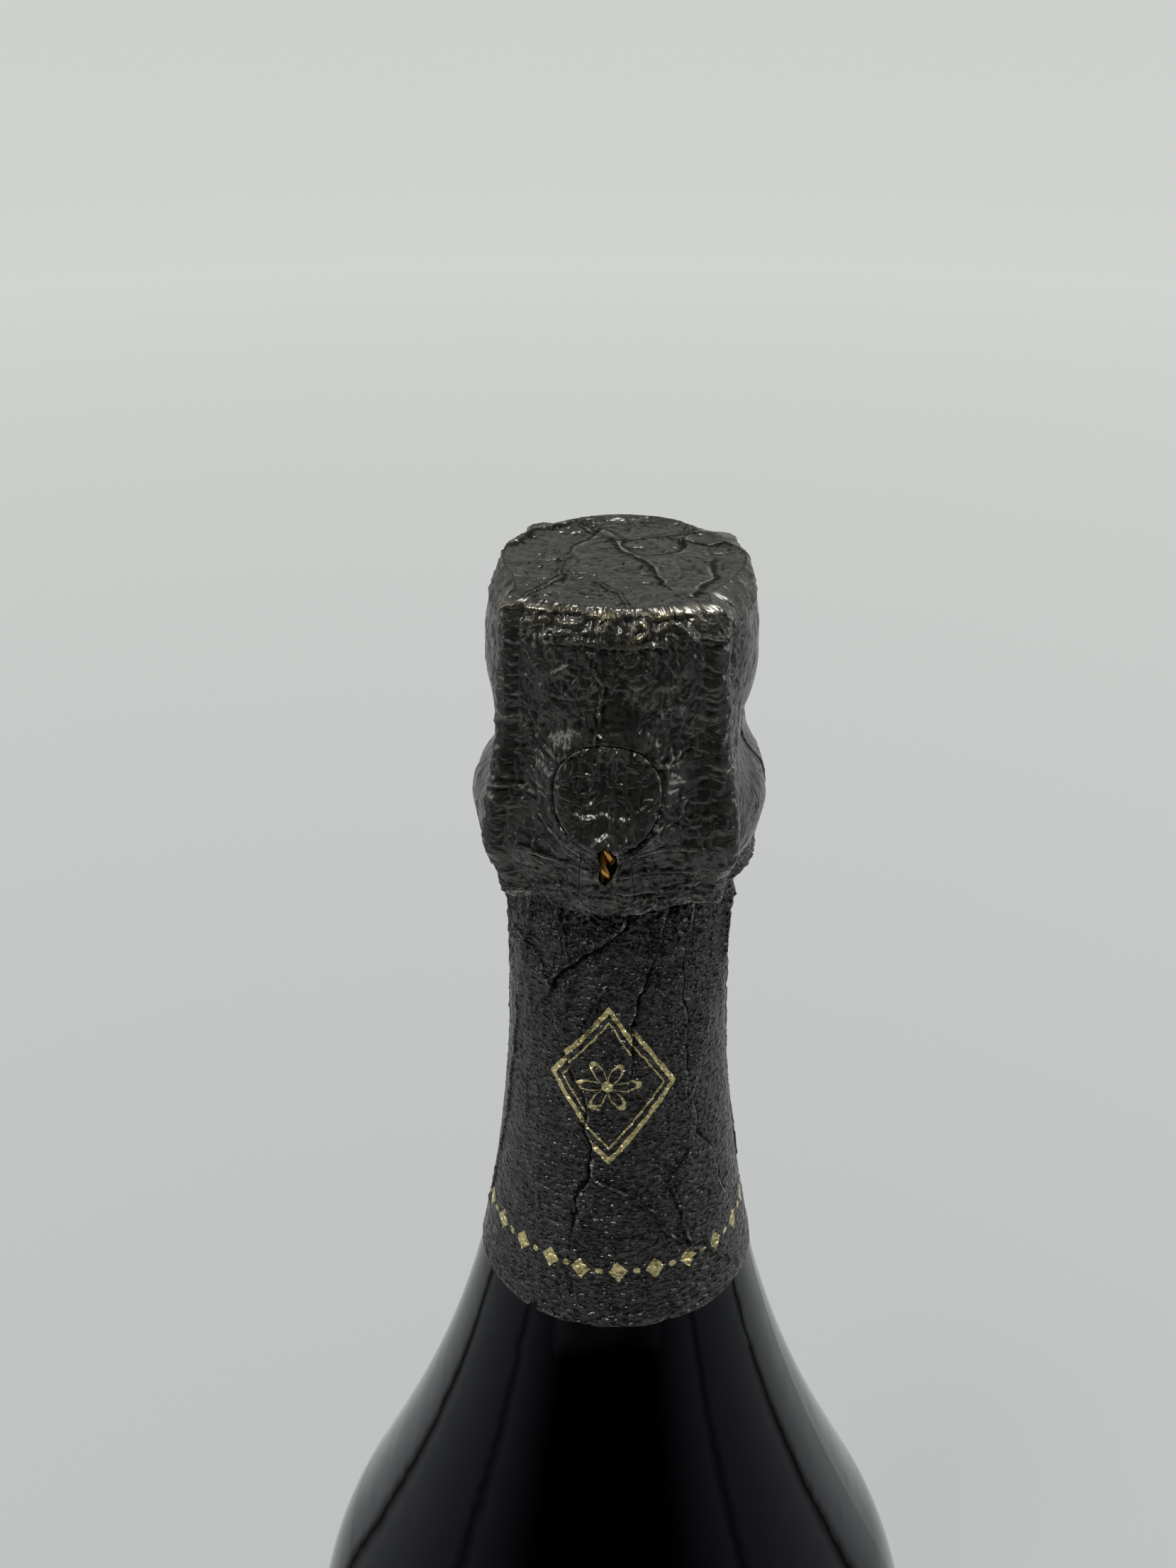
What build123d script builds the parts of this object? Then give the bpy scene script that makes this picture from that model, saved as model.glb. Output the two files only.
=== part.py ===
from build123d import *
import math
import os

# A 750 ml champagne bottle with its cork, twisted wire muselet and foil.
# Millimetres. The origin is the centre of the bearing ring that the bottle stands
# on, +Z runs up its axis, and the muselet's pull loop faces -Y. A drop is a depth
# below the top of the glass lip.

# Glass, outside
lip_level = 291.0
lip_radius = 13.3
lip_height = 5.0
lip_round = 1.3
recess_radius = 12.5
recess_height = 3.6
ring_radius = 16.8
ring_height = 10.0
neck_radius = 12.85
neck_foot_radius = 13.06
neck_foot_drop = 37.5
neck_handle = 48.9
neck_handle_angle = 0.8
shoulder_drop = 144.0
shoulder_radius = 40.3
shoulder_angle = 25.7
shoulder_handle = 32.3
body_radius = 47.3
body_drop = 174.7
heel_height = 9.0
heel_radius = 42.5
bearing_outer_radius = 34.2
bearing_inner_radius = 32.2
punt_depth = 36.0
punt_crown_radius = 13.5
punt_foot_radius = 27.5
punt_foot_rise = 11.5

# Glass, inside
mouth_radius = 8.75
mouth_round = 1.0
bore_depth = 27.0
neck_wall = 3.4
body_wall = 5.2
floor_heel_height = 18.5
floor_edge_radius = 31.5
floor_edge_level = 10.0
floor_edge_run = 4.0
floor_crown_radius = 23.0
punt_wall = 7.0

# Wine
fill_drop = 84.0
wine_gap = 0.1

# Cork
cork_head_height = 10.9
cork_head_radius = 15.1
cork_crown_radius = 12.6
cork_widest_rise = 3.4
cork_foot_radius = 12.6
cork_insertion = 24.0
cork_disc_height = 5.5
cork_gap = 0.1
cork_chamfer = 0.7
groove_gap = 0.25

# Muselet plate
plate_radius = 13.5
plate_thickness = 0.3
plate_rim_depth = 1.4
plate_rim_flare = 0.35
plate_crown_radius = 8.4
plate_crown_rise = 1.5
plate_step_run = 1.2
plate_gap = 0.1

# Muselet wires
wire_radius = 0.525
wire_gap = 0.1
strand_gap = 0.02
heading_tolerance = 1e-9
cage_ring_radius = 11.0
cage_ring_angle = 14.0
leg_count = 4
leg_half_turns = 7
leg_start_radius = 12.7
leg_bend_radius = 15.1
leg_bend_round = 1.9
leg_span_radius = 15.95
leg_span_drop = 1.0
leg_span_round = 40.0
leg_ring_rise = 2.0
leg_ring_fall = 1.0
leg_ring_round = 9.0
leg_foot_radius = 17.2
leg_foot_fall = 3.3
ring_gap = 0.2
eyelet_half_width = 0.9
belt_drop = 20.6
belt_gap = 0.2

# Pull loop, twisted from the belt's two ends
root_half_width = 2.4
root_length = 0.55
stem_half_turns = 4
stem_low_radius = 17.3
stem_low_fall = 3.0
stem_top_radius = 17.75
stem_top_rise = 3.2
stem_round = 6.0
loop_half_width = 4.7
loop_waist_height = 4.9
loop_height = 9.6
loop_lean_angle = 14.0

# Foil
foil_thickness = 0.3
foil_gap = 0.15
foil_top_gap = 0.25
foil_slack = 0.45
foil_rim_drop = 1.6
hood_leg_round = 1.7
hood_foot_round = 2.4
hood_ridge_angle = 75.0
ring_skin_angles = (60, 30, 0, -12, -30)
hood_bottom_drop = 22.6
hood_bottom_radius = 14.1
foil_lap = 0.2
hem_drop = 83.5
flap_gap = 0.3
flap_rim_depth = 1.4
flap_half_width = 2.6
flap_foot_radius = 15.6
tear_half_width = 1.0
tear_height = 5.0
tear_drop = 16.4

overrun = 5.0

# Levels and sizes that several pieces share
recess_level = lip_level - lip_height
ring_level = recess_level - recess_height - ring_height / 2
neck_level = ring_level - ring_height / 2
belt_level = lip_level - belt_drop
hood_bottom_level = lip_level - hood_bottom_drop
cork_radius = mouth_radius - cork_gap
cork_top_level = lip_level + cork_head_height
cork_widest_level = lip_level + cork_widest_rise
plate_level = cork_top_level + plate_thickness
strand_offset = wire_radius + strand_gap / 2
pair_radius = wire_radius + strand_offset
leg_top_level = plate_level + plate_gap + pair_radius
foil_top_level = leg_top_level + pair_radius + foil_top_gap + foil_thickness
foil_cover = foil_gap + foil_thickness
over_ring_radius = ring_radius + ring_gap + pair_radius
wire_pitch = 2 * wire_radius + wire_gap
eyelet_inner_radius = neck_radius + belt_gap + wire_radius
belt_leg_radius = eyelet_inner_radius + wire_pitch
belt_face_radius = neck_radius + belt_gap + wire_radius
leg_step = 360 / leg_count
first_leg_angle = leg_step / 2


def polar(length, angle):
    """A step of this length, at this angle anticlockwise from +X."""
    turn = math.radians(angle)
    return Vector(length * math.cos(turn), length * math.sin(turn))


def revolved(*edges):
    """A turned solid from an outline whose X is the radius and Y the height."""
    return revolve(Plane.XZ * make_face(edges), Axis.Z)


def between(solid, low_level, high_level):
    """The part of a solid that lies between two heights."""
    side = 4 * body_radius
    slab = Pos(0, 0, low_level) * Box(
        side, side, high_level - low_level, align=(Align.CENTER, Align.CENTER, Align.MIN)
    )
    return solid & slab


# Glass and wine
def side_line(neck_inset, body_inset, heel_level=heel_height):
    """The long side of the bottle, from the foot of the neck to the top of the heel."""
    neck_foot = Vector(neck_foot_radius - neck_inset, lip_level - neck_foot_drop)
    shoulder = Vector(shoulder_radius - body_inset, lip_level - shoulder_drop)
    widest = Vector(body_radius - body_inset, lip_level - body_drop)
    neck_curve = Bezier(
        neck_foot,
        neck_foot + polar(neck_handle, neck_handle_angle - 90),
        shoulder + polar(shoulder_handle, 90 + shoulder_angle),
        shoulder,
    )
    shoulder_curve = TangentArc(widest, shoulder, tangent=(0, 1))
    flank = TangentArc(widest, (heel_radius - body_inset, heel_level), tangent=(0, -1))
    return [neck_curve, shoulder_curve, flank]


def glass_solid():
    """Lip, recess, ring, side, heel, bearing ring and punt, with the hollow inside."""
    side = side_line(0, 0)
    lip_top = (lip_radius - lip_round, lip_level)
    lip_side = (lip_radius, lip_level - lip_round)
    lip_foot = (lip_radius, recess_level + lip_round)
    recess_top = (recess_radius, recess_level)
    recess_foot = (recess_radius, recess_level - recess_height)
    outside = revolved(
        Line((0, lip_level), lip_top),
        TangentArc(lip_top, lip_side, tangent=(1, 0)),
        Line(lip_side, lip_foot),
        TangentArc(lip_foot, recess_top, tangent=(0, -1)),
        Line(recess_top, recess_foot),
        ThreePointArc(recess_foot, (ring_radius, ring_level), (neck_radius, neck_level)),
        Line((neck_radius, neck_level), side[0] @ 0),
        *side,
        TangentArc(side[2] @ 1, (bearing_outer_radius, 0), tangent=side[2] % 1),
        Line((bearing_outer_radius, 0), (bearing_inner_radius, 0)),
        Bezier(
            (bearing_inner_radius, 0),
            (punt_foot_radius, punt_foot_rise),
            (punt_crown_radius, punt_depth),
            (0, punt_depth),
        ),
        Line((0, punt_depth), (0, lip_level)),
    )
    return outside - hollow_solid(0)


def hollow_solid(inset):
    """The bottle's hollow, drawn in from the glass all round."""
    side = side_line(neck_wall + inset, body_wall + inset, floor_heel_height)
    bore = mouth_radius - inset
    bore_level = lip_level - bore_depth
    mouth_level = lip_level - mouth_round
    floor_edge = Vector(floor_edge_radius, floor_edge_level + inset)
    floor_heel = TangentArc(side[2] @ 1, floor_edge, tangent=side[2] % 1)
    crown_level = punt_depth + punt_wall + inset
    return revolved(
        Line((0, lip_level), (bore + mouth_round, lip_level)),
        TangentArc((bore, mouth_level), (bore + mouth_round, lip_level), tangent=(0, 1)),
        Line((bore, mouth_level), (bore, bore_level)),
        Line((bore, bore_level), side[0] @ 0),
        *side,
        floor_heel,
        Bezier(
            floor_edge,
            floor_edge + (floor_heel % 1) * floor_edge_run,
            (floor_crown_radius, crown_level),
            (0, crown_level),
        ),
        Line((0, crown_level), (0, lip_level)),
    )


def wine_solid():
    return between(hollow_solid(wine_gap), 0, lip_level - fill_drop)


# Cork: a head of pressed granules with two glued discs of natural cork below
def cork_body_solid():
    seat_level = lip_level + cork_gap
    foot_level = lip_level - cork_insertion + 2 * cork_disc_height
    crown = (cork_crown_radius, cork_top_level)
    widest = (cork_head_radius, cork_widest_level)
    foot = (cork_foot_radius, seat_level)
    body = revolved(
        Line((0, cork_top_level), crown),
        TangentArc(widest, crown, tangent=(0, 1)),
        TangentArc(widest, foot, tangent=(0, -1)),
        Line(foot, (cork_radius, seat_level)),
        Line((cork_radius, seat_level), (cork_radius, foot_level)),
        Line((cork_radius, foot_level), (0, foot_level)),
        Line((0, foot_level), (0, cork_top_level)),
    )
    guide = leg_guide()
    groove = sweep(
        Plane(guide @ 0, z_dir=guide % 0) * Circle(pair_radius + groove_gap), path=guide
    )
    for leg in range(leg_count):
        body -= Rot(0, 0, first_leg_angle + leg * leg_step) * groove
    return body


def cork_disc_solid(low_level, chamfer_size):
    """One natural disc, with its lower edge chamfered when it is the last."""
    disc = Pos(0, 0, low_level) * Cylinder(
        cork_radius, cork_disc_height, align=(Align.CENTER, Align.CENTER, Align.MIN)
    )
    if chamfer_size > 0:
        disc = chamfer(disc.edges().sort_by(Axis.Z)[0], chamfer_size)
    return disc


def cork_discs():
    last_level = lip_level - cork_insertion
    return {
        "cork_disc_upper": cork_disc_solid(last_level + cork_disc_height, 0),
        "cork_disc_lower": cork_disc_solid(last_level, cork_chamfer),
    }


# Muselet plate: pressed sheet with a raised crown, a seat for the wire and a turned-down rim
def plate_solid():
    crown_level = plate_level + plate_crown_rise
    step_radius = plate_crown_radius + plate_step_run
    rim_level = plate_level - plate_rim_depth
    rim_radius = plate_radius + plate_rim_flare
    top = Polyline(
        (0, crown_level),
        (plate_crown_radius, crown_level),
        (step_radius, plate_level),
        (plate_radius, plate_level),
        (rim_radius, rim_level),
    )
    sheet = Polyline(
        (rim_radius, rim_level),
        (rim_radius - plate_thickness, rim_level),
        (plate_radius - plate_thickness, plate_level - plate_thickness),
        (step_radius, plate_level - plate_thickness),
        (plate_crown_radius - plate_thickness, crown_level - plate_thickness),
        (0, crown_level - plate_thickness),
        (0, crown_level),
    )
    return revolved(top, sheet)


# Wires are swept along routes of tangent arcs through stations: a place and a heading
def arc_pair(start, start_heading, end, end_heading):
    """Two tangent arcs that join two stations."""
    first = start_heading.normalized()
    last = end_heading.normalized()
    chord = end - start
    both = first + last
    spread = 2 * (1 - first.dot(last))
    along = chord.dot(both)
    if spread < heading_tolerance:
        reach = chord.dot(chord) / (2 * along)
    else:
        reach = (math.sqrt(along**2 + spread * chord.dot(chord)) - along) / spread
    middle = (start + first * reach + end - last * reach) / 2
    return [
        TangentArc(start, middle, tangent=first),
        TangentArc(end, middle, tangent=-last),
    ]


def wire_solid(stations):
    """A wire of constant section along the stations."""
    edges = []
    for (start, start_heading), (end, end_heading) in zip(stations, stations[1:]):
        edges += arc_pair(start, start_heading, end, end_heading)
    place, heading = stations[0]
    section = Plane(place, z_dir=heading) * Circle(wire_radius)
    return sweep(section, path=Wire(edges))


def mirrored(stations):
    """The same stations on the other side of the XZ plane, run backwards."""
    flipped = [
        (Vector(place.X, -place.Y, place.Z), Vector(-heading.X, heading.Y, -heading.Z))
        for place, heading in stations
    ]
    return flipped[::-1]


def backwards(stations):
    return [(place, -heading) for place, heading in reversed(stations)]


def radial_line(*points, radii):
    """A filleted guide in the XZ plane, through points of radius and height."""
    return FilletPolyline(*[(radius, 0, level) for radius, level in points], radius=radii)


def twisted_strand(guide, half_turns, side):
    """Stations of one strand of a twisted pair, from the side of +Y or -Y where it starts."""
    across = Vector(0, 1, 0)
    turn_rate = math.pi * half_turns / guide.length
    stations = []
    for quarter in range(2 * half_turns + 1):
        share = quarter / (2 * half_turns)
        along = guide % share
        outward = across.cross(along)
        turn = math.pi * quarter / 2
        offset = (across * math.cos(turn) + outward * math.sin(turn)) * strand_offset * side
        swing = (outward * math.cos(turn) - across * math.sin(turn)) * strand_offset * side
        stations.append((guide @ share + offset, along + swing * turn_rate))
    return stations


# Cage: one wire that runs round the top, down each leg, through its eyelet and up again
def leg_points():
    """Corners of a leg's line over the plate's edge, the cork, the lip and the ring."""
    return [
        (leg_start_radius, leg_top_level),
        (leg_bend_radius, leg_top_level),
        (leg_span_radius, lip_level - leg_span_drop),
        (over_ring_radius, ring_level + leg_ring_rise),
        (over_ring_radius, ring_level - leg_ring_fall),
        (leg_foot_radius, ring_level - leg_foot_fall),
    ]


def leg_guide():
    rounds = [leg_bend_round, leg_span_round, leg_ring_round, leg_ring_round / 2]
    return radial_line(*leg_points(), radii=rounds)


def cage_quarter():
    """The wire of one leg at +X, from the middle of one top arc to the middle of the next."""
    ring_wire_level = plate_level + plate_gap + wire_radius
    guide = leg_guide()
    top = []
    for angle in (-leg_step / 2, -cage_ring_angle):
        place = polar(cage_ring_radius, angle) + Vector(0, 0, ring_wire_level)
        top.append((place, polar(1, angle + 90)))
    down = twisted_strand(guide, leg_half_turns, -1)
    up = backwards(twisted_strand(guide, leg_half_turns, 1))
    end_side = math.copysign(1, down[-1][0].Y)
    width = end_side * eyelet_half_width
    outer_radius = belt_leg_radius + wire_pitch
    eyelet = [
        (Vector(eyelet_inner_radius, width, belt_level), Vector(0, 0, -1)),
        (Vector(belt_leg_radius, 0, belt_level - wire_pitch), Vector(wire_pitch, -width, 0)),
        (Vector(outer_radius, -width, belt_level), Vector(0, 0, 1)),
    ]
    return wire_solid(top + down + eyelet + up + mirrored(top))


def cage_solid():
    quarter = cage_quarter()
    cage = Rot(0, 0, first_leg_angle) * quarter
    for leg in range(1, leg_count):
        cage += Rot(0, 0, first_leg_angle + leg * leg_step) * quarter
    return cage


# Belt: one wire under the ring, through the four eyelets, drawn tight between them
def belt_solid():
    root = [(Vector(root_end_radius(), strand_offset, belt_level), Vector(-1, 0, 0))]
    side_angle = math.degrees(math.asin(root_half_width / belt_face_radius))
    rounds = [(side_angle, belt_face_radius)]
    for leg in range(leg_count):
        angle = first_leg_angle + leg * leg_step
        rounds.append((angle, belt_leg_radius))
        rounds.append((angle + leg_step / 2, belt_face_radius))
    rounds[-1] = (360 - side_angle, belt_face_radius)
    circle = [
        (polar(radius, angle) + Vector(0, 0, belt_level), polar(1, angle + 90))
        for angle, radius in rounds
    ]
    return Rot(0, 0, -90) * wire_solid(root + circle + mirrored(root))


def root_end_radius():
    """Where the belt's two ends stop, side by side and pointing outwards."""
    return belt_face_radius + wire_radius + root_length


# Loop: the same wire twisted up over the ring and opened into a teardrop that leans in
def fold_radius():
    """The radius of the fold that the loop swings about, level with the belt."""
    return root_end_radius() + wire_gap + wire_radius


def stem_guide():
    return radial_line(
        (fold_radius(), belt_level),
        (stem_low_radius, ring_level - stem_low_fall),
        (over_ring_radius, ring_level),
        (stem_top_radius, ring_level + stem_top_rise),
        radii=[stem_round, stem_round],
    )


def loop_solid():
    guide = stem_guide()
    lean = Vector(polar(1, 90 + loop_lean_angle).X, 0, polar(1, 90 + loop_lean_angle).Y)
    base = guide @ 1
    up = twisted_strand(guide, stem_half_turns, -1)
    down = backwards(twisted_strand(guide, stem_half_turns, 1))
    side = math.copysign(loop_half_width, up[-1][0].Y)
    eye = [
        (base + lean * loop_waist_height + Vector(0, side, 0), lean),
        (base + lean * loop_height, Vector(0, -side, 0)),
        (base + lean * loop_waist_height - Vector(0, side, 0), -lean),
    ]
    loop = wire_solid(up + eye + down)
    for strand in (-1, 1):
        end = Vector(fold_radius(), strand * strand_offset, belt_level)
        loop += Pos(end) * Sphere(wire_radius)
    return Rot(0, 0, -90) * loop


# Foil
def hood_section(level, face_radius, leg_radius, ridge_radius, inset):
    """One level of the hood: a ridge over each leg and a drawn face between them."""
    low = Pos(0, 0, level)
    ridge_centre = Pos(leg_radius - ridge_radius, 0)
    ridge_round = ridge_radius - inset
    edges = []
    for leg in range(leg_count):
        here = low * Rot(0, 0, first_leg_angle + leg * leg_step)
        there = here * Rot(0, 0, leg_step)
        start = here * ridge_centre * Pos(polar(ridge_round, -hood_ridge_angle))
        ridge = here * ridge_centre * Pos(ridge_round, 0)
        end = here * ridge_centre * Pos(polar(ridge_round, hood_ridge_angle))
        face = here * Rot(0, 0, leg_step / 2) * Pos(face_radius - inset, 0)
        after = there * ridge_centre * Pos(polar(ridge_round, -hood_ridge_angle))
        edges.append(ThreePointArc(start.position, ridge.position, end.position))
        edges.append(ThreePointArc(end.position, face.position, after.position))
    return make_face(edges)


def radius_at(points, level):
    """The radius, at one level, of a line through points that run downwards."""
    for (high_radius, high), (low_radius, low) in zip(points, points[1:]):
        if high >= level >= low:
            return high_radius + (low_radius - high_radius) * (high - level) / (high - low)
    return points[-1][0]


def hood_levels():
    """Height, radius between the legs, radius over a leg and width of its ridge."""
    over_leg = pair_radius + foil_cover
    rim_level = plate_level - plate_rim_depth
    rows = [
        (foil_top_level, plate_radius, leg_bend_radius),
        (foil_top_level - foil_rim_drop, plate_radius + foil_slack, leg_bend_radius + over_leg),
    ]
    faces = [
        (rim_level, plate_radius + plate_rim_flare + foil_slack),
        ((cork_widest_level + cork_top_level) / 2, cork_head_radius + foil_gap),
        (cork_widest_level, cork_head_radius + foil_cover),
        (lip_level - lip_height / 2, lip_radius + foil_slack + foil_cover),
        (recess_level, lip_radius + foil_slack + foil_cover),
    ]
    for angle in ring_skin_angles:
        reach = polar(1, angle)
        face = neck_radius + (ring_radius - neck_radius) * reach.X + foil_cover
        faces.append((ring_level + ring_height / 2 * reach.Y, face))
    for level, face in faces:
        rows.append((level, face, radius_at(leg_points()[1:], level) + over_leg))
    foot = belt_leg_radius + wire_pitch + wire_radius + foil_cover + 2 * foil_gap
    belt_face = belt_face_radius + wire_radius + foil_cover + foil_gap
    levels = [(*row, hood_leg_round) for row in rows]
    levels.append((belt_level, belt_face, foot, hood_foot_round))
    levels.append((hood_bottom_level, hood_bottom_radius, foot, hood_foot_round))
    return levels


def hood_loft(inset):
    levels = hood_levels()
    levels[0] = (levels[0][0] - inset, *levels[0][1:])
    levels[-1] = (levels[-1][0] - inset, *levels[-1][1:])
    return loft([hood_section(*level, inset) for level in levels], ruled=True)


def flap_outline(grow):
    """The flap seen from the front: a teardrop over the loop and a strip over its stem."""
    cover = wire_radius + foil_cover + grow
    lean = polar(1, 90 + loop_lean_angle)
    base_level = ring_level + stem_top_rise
    eye_level = base_level + lean.Y * loop_waist_height
    half_width = flap_half_width + grow
    eye = Pos(0, eye_level) * Circle(loop_half_width + cover)
    strip_height = base_level - hood_bottom_level
    strip = Pos(0, hood_bottom_level) * Rectangle(
        2 * half_width, strip_height, align=(Align.CENTER, Align.MIN)
    )
    teardrop = make_hull([*eye.edges(), *strip.edges().sort_by(Axis.Y)[-1:]])
    return teardrop + strip


def front_extrusion(outline):
    """A front outline (X across, Y up) carried along the depth of the flap."""
    return extrude(Plane.XZ * outline, over_ring_radius + 2 * pair_radius + overrun)


def flap_band(depth):
    """The flap's side view, this deep, carried across its width."""
    cover = pair_radius + foil_cover + 2 * foil_gap
    lean = polar(1, 90 + loop_lean_angle)
    base = Vector(stem_top_radius, ring_level + stem_top_rise)
    tip = base + lean * (loop_height + wire_radius + foil_cover + overrun)
    front = [
        (flap_foot_radius, hood_bottom_level),
        (fold_radius() + cover, belt_level),
        (stem_low_radius + cover, ring_level - stem_low_fall),
        (over_ring_radius + cover, ring_level),
        (base.X + cover, base.Y),
        (tip.X + cover, tip.Y),
    ]
    back = [(radius - depth, level) for radius, level in reversed(front)]
    side = Plane(origin=(0, 0, 0), x_dir=(0, -1, 0), z_dir=(-1, 0, 0))
    face = side * make_face(Polyline(*front, *back, close=True))
    reach = loop_half_width + overrun
    return extrude(face, reach, both=True)


def flap_solid():
    """Foil over the pull loop, with a turned-in rim and a tear that shows the twist."""
    outline = flap_outline(0)
    rim = outline - offset(outline, -foil_thickness)
    flap = flap_band(foil_thickness) & front_extrusion(outline)
    flap += flap_band(flap_rim_depth) & front_extrusion(rim)
    tear = Pos(0, lip_level - tear_drop) * make_face(
        Polyline(
            (-tear_half_width, -tear_height / 2),
            (tear_half_width / 2, -tear_height / 3),
            (tear_half_width, tear_height / 3),
            (0, tear_height / 2),
            (-tear_half_width, tear_height / 4),
            close=True,
        )
    )
    return flap - front_extrusion(tear)


def hood_solid():
    hood = hood_loft(0) - hood_loft(foil_thickness)
    return hood - front_extrusion(flap_outline(flap_gap))


def neck_foil_solid():
    """The sleeve that lies on the neck, from under the hood to the hem."""
    skins = []
    for inset in (-foil_cover, -foil_gap):
        side = side_line(inset, inset)
        neck = (neck_radius - inset, neck_level)
        skins.append(
            revolved(
                Line((0, neck_level), neck),
                Line(neck, side[0] @ 0),
                side[0],
                Line(side[0] @ 1, (0, (side[0] @ 1).Y)),
                Line((0, (side[0] @ 1).Y), (0, neck_level)),
            )
        )
    sleeve = skins[0] - skins[1]
    return between(sleeve, lip_level - hem_drop, hood_bottom_level + foil_lap)


nodes = {
    "glass_bottle": glass_solid(),
    "wine": wine_solid(),
    "cork_body": cork_body_solid(),
    **cork_discs(),
    "muselet_plate": plate_solid(),
    "cage_wire": cage_solid(),
    "belt_wire": belt_solid(),
    "wire_loop": loop_solid(),
    "foil_hood": hood_solid(),
    "foil_flap": flap_solid(),
    "foil_neck": neck_foil_solid(),
}

os.makedirs("parts", exist_ok=True)
for name, shape in nodes.items():
    export_step(shape, f"parts/{name}.step")
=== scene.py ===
import math

import bpy
import numpy as np
from mathutils import Matrix, Vector


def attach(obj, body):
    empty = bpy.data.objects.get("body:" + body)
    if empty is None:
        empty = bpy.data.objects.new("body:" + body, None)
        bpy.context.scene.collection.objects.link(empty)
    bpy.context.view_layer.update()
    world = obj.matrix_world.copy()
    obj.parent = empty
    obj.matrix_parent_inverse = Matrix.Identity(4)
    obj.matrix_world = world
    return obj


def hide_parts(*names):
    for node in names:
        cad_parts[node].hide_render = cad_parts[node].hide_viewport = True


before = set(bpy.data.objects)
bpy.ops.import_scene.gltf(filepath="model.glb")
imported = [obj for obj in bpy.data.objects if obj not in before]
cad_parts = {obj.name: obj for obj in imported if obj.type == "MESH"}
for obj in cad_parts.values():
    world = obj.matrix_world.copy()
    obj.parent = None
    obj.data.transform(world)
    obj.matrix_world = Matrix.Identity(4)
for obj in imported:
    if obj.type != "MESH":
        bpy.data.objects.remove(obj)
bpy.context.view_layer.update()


# The bottle: dark olive glass, blown in an iron mould and fire-polished at the lip.
# It stands on a narrow ring round a deep punt, and looks black wherever it is full.
def linear(code):
    """A colour from its sRGB hex value."""
    shares = [int(code[place : place + 2], 16) / 255 for place in (1, 3, 5)]
    return [s / 12.92 if s <= 0.04045 else ((s + 0.055) / 1.055) ** 2.4 for s in shares] + [1]


def add(tree, kind, inputs=(), stops=(), **settings):
    """Adds a node with its settings, links or sets its inputs, and gives a colour ramp
    its stops, in rising order: each a place and an sRGB colour."""
    made = tree.nodes.new(kind)
    for name, value in settings.items():
        setattr(made, name, value)
    for socket, value in dict(inputs).items():
        if isinstance(value, bpy.types.NodeSocket):
            tree.links.new(value, made.inputs[socket])
        else:
            made.inputs[socket].default_value = value
    for number, (position, code) in enumerate(stops):
        ramp = made.color_ramp.elements
        stop = ramp[number] if number < 2 else ramp.new(position)
        stop.position = position
        stop.color = linear(code)
    return made


def surface(name, **values):
    """A material with one principled shader; its node tree and its shader."""
    made = bpy.data.materials.new(name)
    made.use_nodes = True
    shader = made.node_tree.nodes["Principled BSDF"]
    for socket, value in values.items():
        shader.inputs[socket.replace("_", " ")].default_value = value
    return made, made.node_tree, shader


def dress(nodes, finish):
    """Gives carried-over CAD nodes their finish."""
    for name in nodes:
        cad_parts[name].data.materials.clear()
        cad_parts[name].data.materials.append(finish)


# Olive glass, moulded: gentle ripples 9 mm across bend its reflections, and handling
# marks 4 mm across dull it a little. Towards its edges a dark film takes some of the gleam.
ripples_per_metre, marks_per_metre = 110.0, 240.0
glass_colour = linear("#080a05")
glass, tree, shader = surface(
    "olive_glass_moulded",
    Base_Color=glass_colour,
    Roughness=0.02,
    IOR=1.52,
    Specular_Tint=linear("#666a76"),
    Transmission_Weight=1.0,
)
place = add(tree, "ShaderNodeTexCoord").outputs["Object"]
ripple = add(tree, "ShaderNodeTexNoise", {"Vector": place, "Scale": ripples_per_metre, "Detail": 1.0})
bump = add(tree, "ShaderNodeBump", {"Height": ripple.outputs["Fac"], "Strength": 0.2, "Distance": 0.0003})
tree.links.new(bump.outputs["Normal"], shader.inputs["Normal"])
marks = add(
    tree,
    "ShaderNodeTexNoise",
    {"Vector": place, "Scale": marks_per_metre, "Detail": 6.0, "Roughness": 0.7},
)
haze = add(
    tree,
    "ShaderNodeMapRange",
    {"Value": marks.outputs["Fac"], "From Min": 0.45, "From Max": 0.75, "To Min": 0.005, "To Max": 0.03},
)
tree.links.new(haze.outputs["Result"], shader.inputs["Roughness"])
film = add(tree, "ShaderNodeBsdfDiffuse", {"Color": glass_colour})
edge_on = add(tree, "ShaderNodeLayerWeight", {"Blend": 0.5})
hazed = add(
    tree,
    "ShaderNodeMapRange",
    {"Value": edge_on.outputs["Facing"], "From Min": 0.4, "From Max": 0.9, "To Max": 0.1},
)
filmed = add(
    tree,
    "ShaderNodeMixShader",
    {0: hazed.outputs["Result"], 1: shader.outputs["BSDF"], 2: film.outputs["BSDF"]},
)
tree.links.new(filmed.outputs["Shader"], tree.nodes["Material Output"].inputs["Surface"])
dress(["glass_bottle"], glass)


# The wine: pale straw liquid that fills the bottle to a finger below the cork.
# It is still and clear, with a few small bubbles, and shows only where the glass lets light in.
bubbles_per_metre = 180.0
wine, tree, shader = surface(
    "straw_wine_still",
    Base_Color=linear("#e6cf86"),
    Roughness=0.0,
    IOR=1.34,
    Transmission_Weight=1.0,
)
place = add(tree, "ShaderNodeTexCoord").outputs["Object"]
bubbles = add(tree, "ShaderNodeTexVoronoi", {"Vector": place, "Scale": bubbles_per_metre})
tint = add(
    tree,
    "ShaderNodeValToRGB",
    {"Fac": bubbles.outputs["Distance"]},
    stops=((0.05, "#fbf2cf"), (0.12, "#e6cf86")),
)
tree.links.new(tint.outputs["Color"], shader.inputs["Base Color"])
dress(["wine"], wine)


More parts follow.
